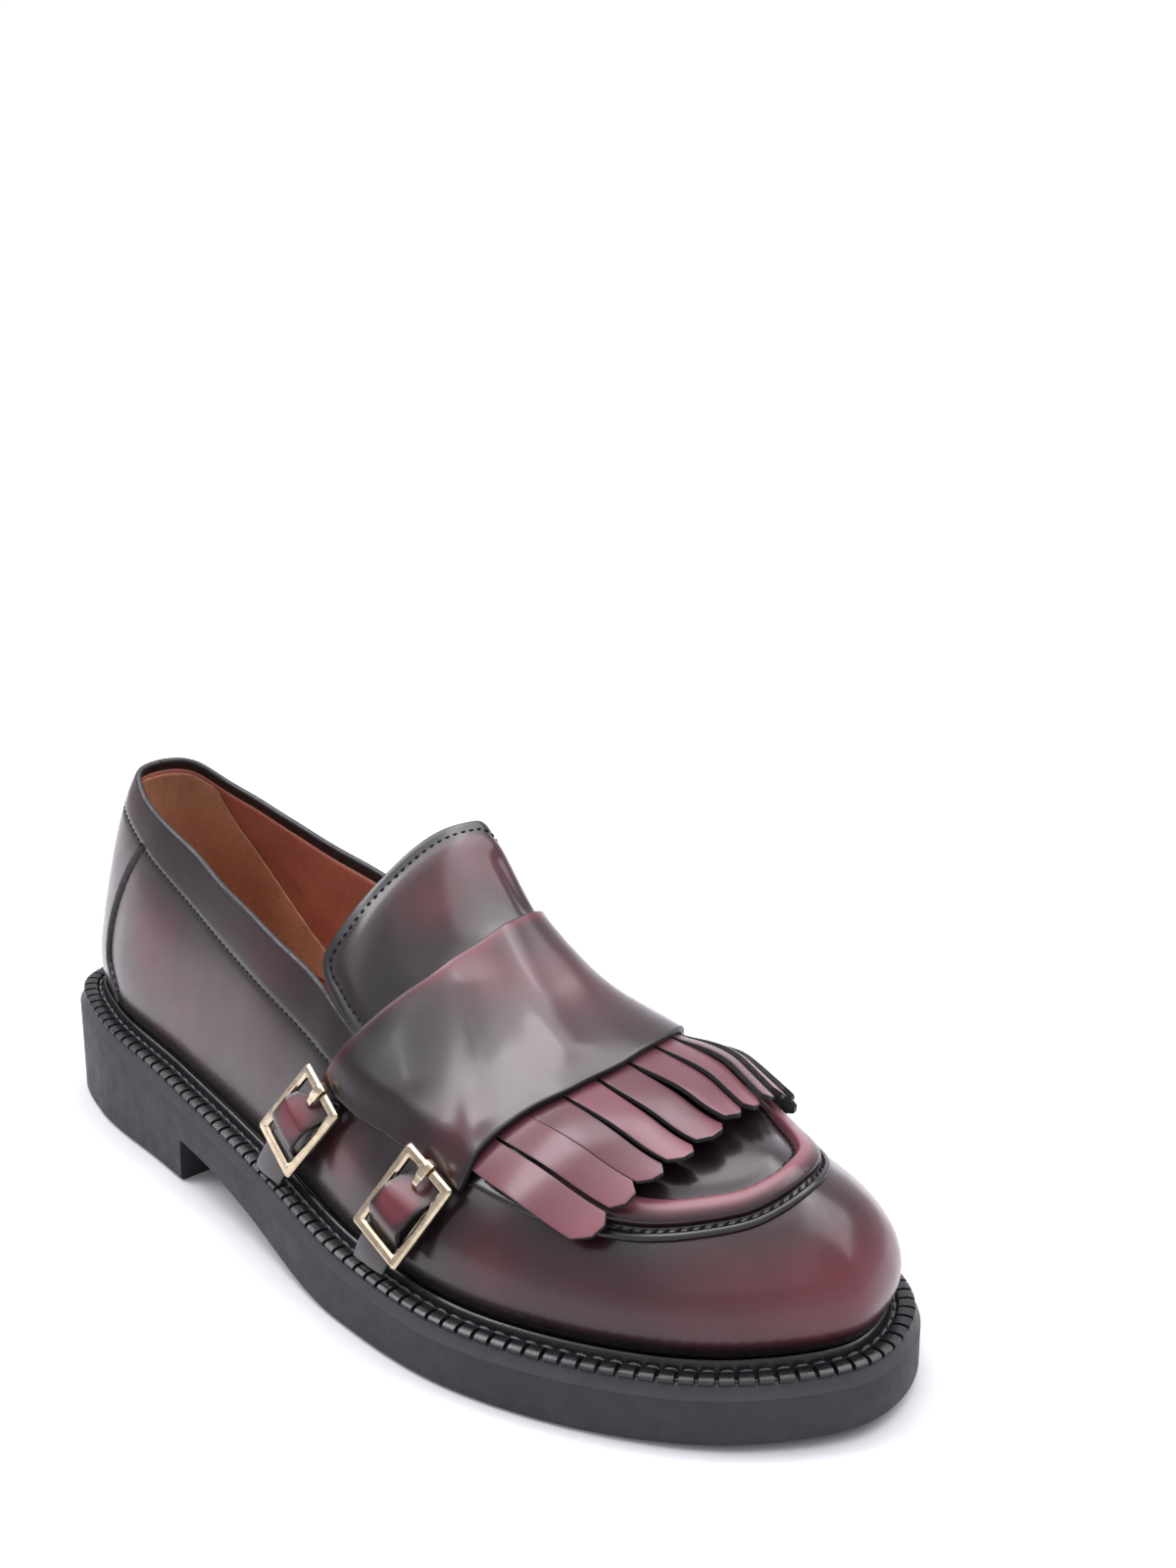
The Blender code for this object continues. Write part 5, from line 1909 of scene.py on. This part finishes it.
@dataclass(frozen=True)
class FringeSet(OnLast):
    """Cut strips that come out under the saddle's front edge and lift at their tips."""

    thick: float = 0.0012
    tuck: float = 0.0050
    root_lift: float = 0.0007
    tip_lift: float = 0.0050
    slit: float = 0.045
    joined: int = 2
    joined_slit: float = 0.15
    corner: float = 0.30
    rows: int = 46
    columns: int = 14

    LINES = (
        Cut(0.00, -0.570, -0.670, 0.2300), Cut(0.09, -0.480, -0.555, 0.2330),
        Cut(0.14, -0.435, -0.490, 0.2330), Cut(0.25, -0.330, -0.390, 0.2360),
        Cut(0.40, -0.165, -0.210, 0.2385), Cut(0.55, 0.020, 0.075, 0.2375),
        Cut(0.70, 0.222, 0.285, 0.2325), Cut(0.85, 0.405, 0.480, 0.2283),
        Cut(1.00, 0.580, 0.680, 0.2230))
    TIPS = (
        Tip(0.075, 0.055, 0.0000, 0.0002, 0.0006), Tip(0.055, 0.075, 0.0002, 0.0002, 0.0002),
        Tip(0.045, 0.075, 0.0002, 0.0002, 0.0002), Tip(0.060, 0.075, 0.0005, 0.0004, 0.0017),
        Tip(0.070, 0.060, 0.0001, 0.0003, 0.0012), Tip(0.060, 0.080, 0.0004, 0.0003, 0.0018),
        Tip(0.080, 0.060, 0.0000, 0.0003, 0.0011), Tip(0.060, 0.075, 0.0003, 0.0004, 0.0016),
        Tip(0.070, 0.065, 0.0001, 0.0003, 0.0012), Tip(0.060, 0.070, 0.0004, 0.0003, 0.0015),
        Tip(0.075, 0.060, 0.0000, 0.0002, 0.0010))

    def edge(self, share: float, t: Array) -> Pair:
        """The line between two strips.

        Args:
            share: its share of the fringe's width.
            t: from the root (0) to the tips (1).

        Returns:
            Places around and X.
        """
        root = read(self.LINES, "root_around", share, "share")
        tip = read(self.LINES, "tip_around", share, "share")
        start = read(Saddle.EDGES, "front", root, "around") - self.tuck
        return lerp(root, tip, t), lerp(start, read(self.LINES, "tip_x", share, "share"), t)

    def build(self) -> None:
        """Every strip."""
        count = len(self.TIPS)
        for number, tip in enumerate(self.TIPS):
            across = even(self.columns)[None, :]
            near = tip.left * np.clip((self.corner - across) / self.corner, 0.0, 1.0)
            far = tip.right * np.clip((across - (1.0 - self.corner)) / self.corner, 0.0, 1.0)
            t = even(self.rows)[:, None] * (1.0 - (near + far))
            slit = self.slit * (1.0 + 0.5 * t)
            cuts = [self.joined_slit if pair == self.joined else 1.0 for pair in (number, number + 1)]
            u = lerp(cuts[0] * slit, 1.0 - cuts[1] * slit, across)
            left, right = self.edge(number / count, t), self.edge((number + 1) / count, t)
            around, x = lerp(left[0], right[0], u), lerp(left[1], right[1], u)
            along = self.last.at_x(x, around)
            lift = self.thick + lerp(self.root_lift, self.tip_lift + tip.lift, ease((t - 0.10) / 0.55))
            lift = lift - tip.curl * (2.0 * u - 1.0) ** 2 * t + tip.twist * (0.5 - u) * ease(t / 0.6)
            grid, out = self.laid(along, around, lift)
            tone = 0.60 - 0.35 * bell(t, 0.16) + 0.30 * bell(1.0 - t, 0.2)
            tone = tone + 0.16 * math.sin(2.4 * number + 0.6)
            made = slab(f"fringe_strip_{number + 1:02d}", grid, out, self.thick,
                        (Finish.FRINGE, Finish.RAW_EDGE, Finish.RAW_EDGE), tone, 0.00015)
            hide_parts(f"fringe_{number + 1:02d}")


# ---- straps and buckles
class StrapPlace(NamedTuple):
    """One buckled strap on the lateral side, by the ends of its middle line."""

    name: str
    foot_x: float
    foot_z: float
    top_x: float
    top_z: float
    foot_stand: float
    buckle_at: float
    tilt: float
    turn: float


class Bevel(NamedTuple):
    """A corner of a metal section, as shares of its half width and half depth."""

    wide: float
    high: float


class PinStep(NamedTuple):
    """A place along a prong: up the frame and out of it, and half its width there."""

    up: float
    out: float
    half: float


@dataclass(frozen=True)
class BuckledStraps(OnLast):
    """Two narrow straps from the welt to the saddle, each bulging through its buckle."""

    width: float = 0.0102
    thick: float = 0.0013
    lift: float = 0.0010
    bulge: float = 0.0045
    buckle_width: float = 0.0170
    buckle_length: float = 0.0236
    bar: float = 0.0026
    depth: float = 0.0016
    buckle_lift: float = 0.0040
    outer_cut: float = 0.0006
    inner_cut: float = 0.0002
    rounding: float = 0.00012
    sharp: float = 22.0
    prong_thick: float = 0.0006
    prong_length: float = 0.0030

    PLACES = (
        StrapPlace("rear", 0.1302, 0.0213, 0.1455, 0.0453, 0.0046, 0.73, 0.0000, 0.03),
        StrapPlace("front", 0.1770, 0.0179, 0.1877, 0.0401, 0.0036, 0.70, 0.0016, 0.15))
    FRAME = (
        Bevel(-1.0, -0.7), Bevel(-0.8, -1.0), Bevel(0.85, -1.0), Bevel(1.0, -0.6), Bevel(1.0, 0.1),
        Bevel(0.72, 0.85), Bevel(0.5, 1.0), Bevel(-0.45, 1.0), Bevel(-1.0, 0.35))
    PIN = (
        Bevel(-1.0, -0.7), Bevel(-0.85, -1.0), Bevel(0.85, -1.0), Bevel(1.0, -0.7),
        Bevel(1.0, 0.5), Bevel(0.7, 1.0), Bevel(-0.7, 1.0), Bevel(-1.0, 0.5))

    def surface(self, x: Array, z: Array) -> Pair:
        """The lateral side at given X and heights.

        Args:
            x: the X.
            z: the heights.

        Returns:
            Its points and normals there.
        """
        shape = np.broadcast(x, z).shape
        wanted = np.stack(np.broadcast_arrays(x, z), axis=-1).reshape(-1, 2)
        along, around = self.last.find(wanted, (0, 2), -1)
        return (self.last.point(along, around).reshape(shape + (3,)),
                self.last.normal(along, around).reshape(shape + (3,)))

    def middle(self, place: StrapPlace, t: Array, lift: Array | float) -> Array:
        """Points of a strap's middle line.

        Args:
            place: the strap.
            t: from its foot (0) to its top (1).
            lift: height over the upper.

        Returns:
            The points.
        """
        t = np.asarray(t, float)
        x, z = lerp(place.foot_x, place.top_x, t), lerp(place.foot_z, place.top_z, t)
        held = np.maximum(z, welt_top(x) + 0.0010)
        ground, _ = self.surface(x, held)
        _, normal = self.surface(x, np.maximum(z, welt_top(x) + 0.0100))
        stand = place.foot_stand * np.clip(1.0 - t, 0.0, 1.0)
        rise = np.stack([np.zeros(t.shape), np.zeros(t.shape), z - held], axis=-1)
        return ground + normal * (lift + stand)[..., None] + rise

    def turned(self, place: StrapPlace) -> Pair:
        """Where a strap's buckle sits.

        Args:
            place: the strap.

        Returns:
            Its middle, and its three directions: across, up and out.
        """
        steps = np.array((-1.0, 1.0))
        low, high = self.middle(place, place.buckle_at + 0.3 * steps,
                                self.buckle_lift + place.tilt / 2.0 * steps)
        up = unit(high - low)
        out = unit(np.cross((1.0, place.turn, 0.0), up))
        return (low + high) / 2.0, np.stack([np.cross(up, out), up, out])

    def build(self) -> None:
        """Both straps with their buckles and prongs."""
        for place in self.PLACES:
            centre, turn = self.turned(place)
            self.build_strap(place, turn)
            self.build_buckle(place, centre, turn)
            self.build_prong(place, centre, turn)

    def build_strap(self, place: StrapPlace, turn: Array) -> None:
        """One strap; both of its ends are level.

        Args:
            place: the strap.
            turn: its buckle's directions.
        """
        across, _, out = turn
        level = -across[2] / (place.top_z - place.foot_z)
        t, aside = np.meshgrid(even(90), np.linspace(-0.5, 0.5, 13) * self.width, indexing="ij")
        t = t + aside * level
        bulge = self.bulge * ease((0.30 - np.abs(t - place.buckle_at + 0.02)) / 0.22)
        crown = 0.0003 * (1.0 - (2.0 * aside / self.width) ** 2)
        grid = self.middle(place, t, self.lift + self.thick + crown)
        grid = grid + across * aside[..., None] + out * bulge[..., None]
        tone = 0.22 + 0.95 * bell(t - place.buckle_at - 0.05, 0.19)
        tone = tone - 0.5 * bell(np.abs(aside) - self.width / 2.0, 0.0012)
        guide = np.broadcast_to(out, grid.shape)
        made = slab(f"strap_leather_{place.name}", grid, guide, self.thick,
                    (Finish.UPPER, Finish.EDGE, Finish.EDGE), tone, 0.0003)
        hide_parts(f"strap_{place.name}")

    def build_buckle(self, place: StrapPlace, centre: Array, turn: Array) -> None:
        """A flat rectangular frame with bevelled bars and mitred corners.

        Args:
            place: its strap.
            centre: its middle.
            turn: its directions.
        """
        half = np.array((self.buckle_width, self.buckle_length)) / 2.0 - self.bar / 2.0
        section = [(b.wide * self.bar / 2.0, b.high * self.depth / 2.0) for b in self.FRAME]
        rings = []
        for x, y in ((-1, -1), (1, -1), (1, 1), (-1, 1)):
            for part in (-1.0, 1.0):
                ring = []
                for wide, high in section:
                    cut = self.outer_cut if wide > 0.0 else self.inner_cut
                    spot = np.array((x * (half[0] + wide), y * (half[1] + wide)))
                    step = (cut * x, 0.0) if (part < 0) != (x * y > 0) else (0.0, cut * y)
                    ring.append(centre + (*(spot - step), high) @ turn)
                rings.append(ring)
        made = swept(f"buckle_frame_{place.name}", np.array(rings), (Finish.GOLD,), closed=True,
                     angle=self.sharp)
        bevel = made.modifiers.new("soft_edges", "BEVEL")
        bevel.width, bevel.segments, bevel.limit_method = self.rounding, 2, "ANGLE"
        bevel.angle_limit = math.radians(self.sharp)
        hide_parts(f"buckle_{place.name}")

    def build_prong(self, place: StrapPlace, centre: Array, turn: Array) -> None:
        """A flat prong folded over the upper bar, with a short tip over the strap.

        Args:
            place: its strap.
            centre: the middle of its buckle.
            turn: the buckle's directions.
        """
        t = self.prong_thick
        side = self.bar / 2.0 + SIZES.gap + t / 2.0
        top = self.depth / 2.0 + SIZES.gap + t / 2.0
        path = (PinStep(side, -0.0004, 0.0013), PinStep(side, top - 0.0004, 0.0013),
                PinStep(side - 0.0004, top, 0.0013), PinStep(-side + 0.0002, top, 0.0012),
                PinStep(-side - 0.0006, top - 0.0001, 0.0009),
                PinStep(-side - 0.7 * self.prong_length, top - 0.0003, 0.0008),
                PinStep(-side - self.prong_length, top - 0.0007, 0.0006))
        bar = self.buckle_length / 2.0 - self.bar / 2.0
        line = smooth_curve([(step.up + bar, step.out) for step in path], 4)
        wide = np.interp(even(len(line)), even(len(path)), column(path, "half"))
        rings = []
        for spot, run, half in zip(line, unit(np.gradient(line, axis=0)), wide):
            off = np.array([-run[1], run[0]]) * t / 2.0
            rings.append([centre + (x * half, *(spot + y * off)) @ turn for x, y in self.PIN])
        made = swept(f"prong_pin_{place.name}", np.array(rings), (Finish.GOLD,), angle=30.0)
        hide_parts(f"prong_{place.name}")


# ---- studio
class Panel(NamedTuple):
    """A light panel: its middle, its width and length, watts, and its lean and turn in degrees."""

    name: str
    place: Triple
    size: tuple[float, float]
    power: float
    lean: float
    turn: float


class Wall(NamedTuple):
    """A darker wall: which way it lies, how near its edge and its middle are, and its level."""

    toward: Triple
    near: float
    far: float
    level: float


class Band(NamedTuple):
    """A colour of the room at a height, from the floor (0) to the ceiling (1)."""

    height: float
    colour: Triple


@dataclass(frozen=True)
class Studio:
    """A plain pale floor, soft light from large panels, and the camera."""

    camera_place: Triple = (0.3543, -0.2947, 0.2525)
    yaw: float = 2.3586
    pitch: float = -0.2881
    lens: float = 44.86
    floor_half: float = 0.9
    room: float = 1.10
    lamp_colour: Triple = (0.975, 0.955, 1.0)

    PANELS = (
        Panel("overhead_wide", (-0.75, -0.49, 1.42), (1.40, 4.00), 22.0, 0.0, -34.0),
        Panel("overhead", (-1.10, -0.65, 1.40), (0.90, 1.60), 28.0, 0.0, -34.0),
        Panel("overhead_far", (-0.25, 0.35, 1.38), (0.90, 1.10), 8.0, 0.0, -34.0),
        Panel("side", (0.63, 0.75, 1.26), (1.30, 1.30), 15.0, 38.0, 50.0),
        Panel("front", (0.95, -0.95, 1.35), (1.50, 1.90), 4.5, 45.0, -45.0))
    WALLS = (Wall((0.17, 0.98, 0.0), 0.82, 0.95, 0.60), Wall((-0.87, -0.50, 0.0), 0.50, 0.92, 0.55))
    BANDS = (
        Band(0.00, (0.9600, 0.9350, 1.00)), Band(0.11, (0.9600, 0.9350, 1.00)),
        Band(0.30, (0.6912, 0.6732, 0.72)), Band(0.70, (0.6720, 0.6545, 0.70)),
        Band(1.00, (1.0000, 1.0000, 1.00)))

    def build(self) -> None:
        """The floor, the lights and the camera."""
        bpy.context.scene.view_settings.view_transform = "Standard"
        self.build_floor()
        self.build_world()
        for panel in self.PANELS:
            self.build_panel(panel)
        self.build_camera()

    def build_floor(self) -> None:
        """A wide white floor."""
        mesh = bpy.data.meshes.new("floor")
        half = self.floor_half
        corners = [(-half, -half, 0), (half, -half, 0), (half, half, 0), (-half, half, 0)]
        mesh.from_pydata(corners, [], [(0, 1, 2, 3)])
        floor = bpy.data.objects.new("floor", mesh)
        bpy.context.scene.collection.objects.link(floor)
        g = Graph("studio_floor")
        g.set(Base_Color=(0.62, 0.62, 0.63), Roughness=0.75, Specular_IOR_Level=0.2)
        mesh.materials.append(g.made)

    def build_world(self) -> None:
        """A pale room, brightest low down, with two darker walls."""
        g = Graph("pale_room", world=True)
        split = g.nodes.new("ShaderNodeSeparateXYZ")
        g.links.new(g.place, split.inputs[0])
        pale = g.ramp(split.outputs["Z"], self.BANDS)
        shade = 1.0
        for wall in self.WALLS:
            aim = g.nodes.new("ShaderNodeVectorMath")
            aim.operation = "DOT_PRODUCT"
            aim.inputs[1].default_value = wall.toward
            g.links.new(g.place, aim.inputs[0])
            level = g.span(aim.outputs["Value"], wall.near, wall.far, 1.0, wall.level)
            shade = g.math("MULTIPLY", level, shade)
        tint = g.nodes.new("ShaderNodeVectorMath")
        tint.operation = "SCALE"
        g.links.new(pale, tint.inputs[0])
        g.links.new(shade, tint.inputs["Scale"])
        g.join(tint.outputs["Vector"], "Color")
        g.set(Strength=self.room)
        bpy.context.scene.world = g.made

    def build_panel(self, panel: Panel) -> None:
        """One rectangular light panel.

        Args:
            panel: its row of the table.
        """
        light = bpy.data.lights.new(panel.name, "AREA")
        light.shape, light.size, light.size_y = "RECTANGLE", *panel.size
        light.energy, light.color = panel.power, self.lamp_colour
        lamp = bpy.data.objects.new(panel.name, light)
        lamp.location = panel.place
        lamp.rotation_euler = (0.0, math.radians(panel.lean), math.radians(panel.turn))
        bpy.context.scene.collection.objects.link(lamp)

    def build_camera(self) -> None:
        """The camera, level, looking back at the lateral side of the toe."""
        data = bpy.data.cameras.new("camera")
        data.lens, data.sensor_width, data.sensor_fit = self.lens, 36.0, "AUTO"
        data.clip_start, data.clip_end = 0.01, 30.0
        camera = bpy.data.objects.new("camera", data)
        camera.location = self.camera_place
        ahead = Vector((math.cos(self.pitch) * math.cos(self.yaw),
                        math.cos(self.pitch) * math.sin(self.yaw), math.sin(self.pitch)))
        camera.rotation_euler = (-ahead).to_track_quat("Z", "Y").to_euler()
        bpy.context.scene.collection.objects.link(camera)
        bpy.context.scene.camera = camera


def main() -> None:
    """Builds the shoe piece by piece, then the studio round it."""
    logging.basicConfig(level=logging.INFO, format="%(message)s")
    last = Last()
    apron = Apron(last)
    parts = (("sole", Sole()), ("sock", Sock()), ("upper", Upper(last, apron)), ("apron", apron),
             ("tongue", Tongue(last)), ("saddle", Saddle(last)), ("fringe", FringeSet(last)),
             ("straps", BuckledStraps(last)), ("studio", Studio()))
    for name, part in parts:
        part.build()


if __name__ == "__main__":
    main()
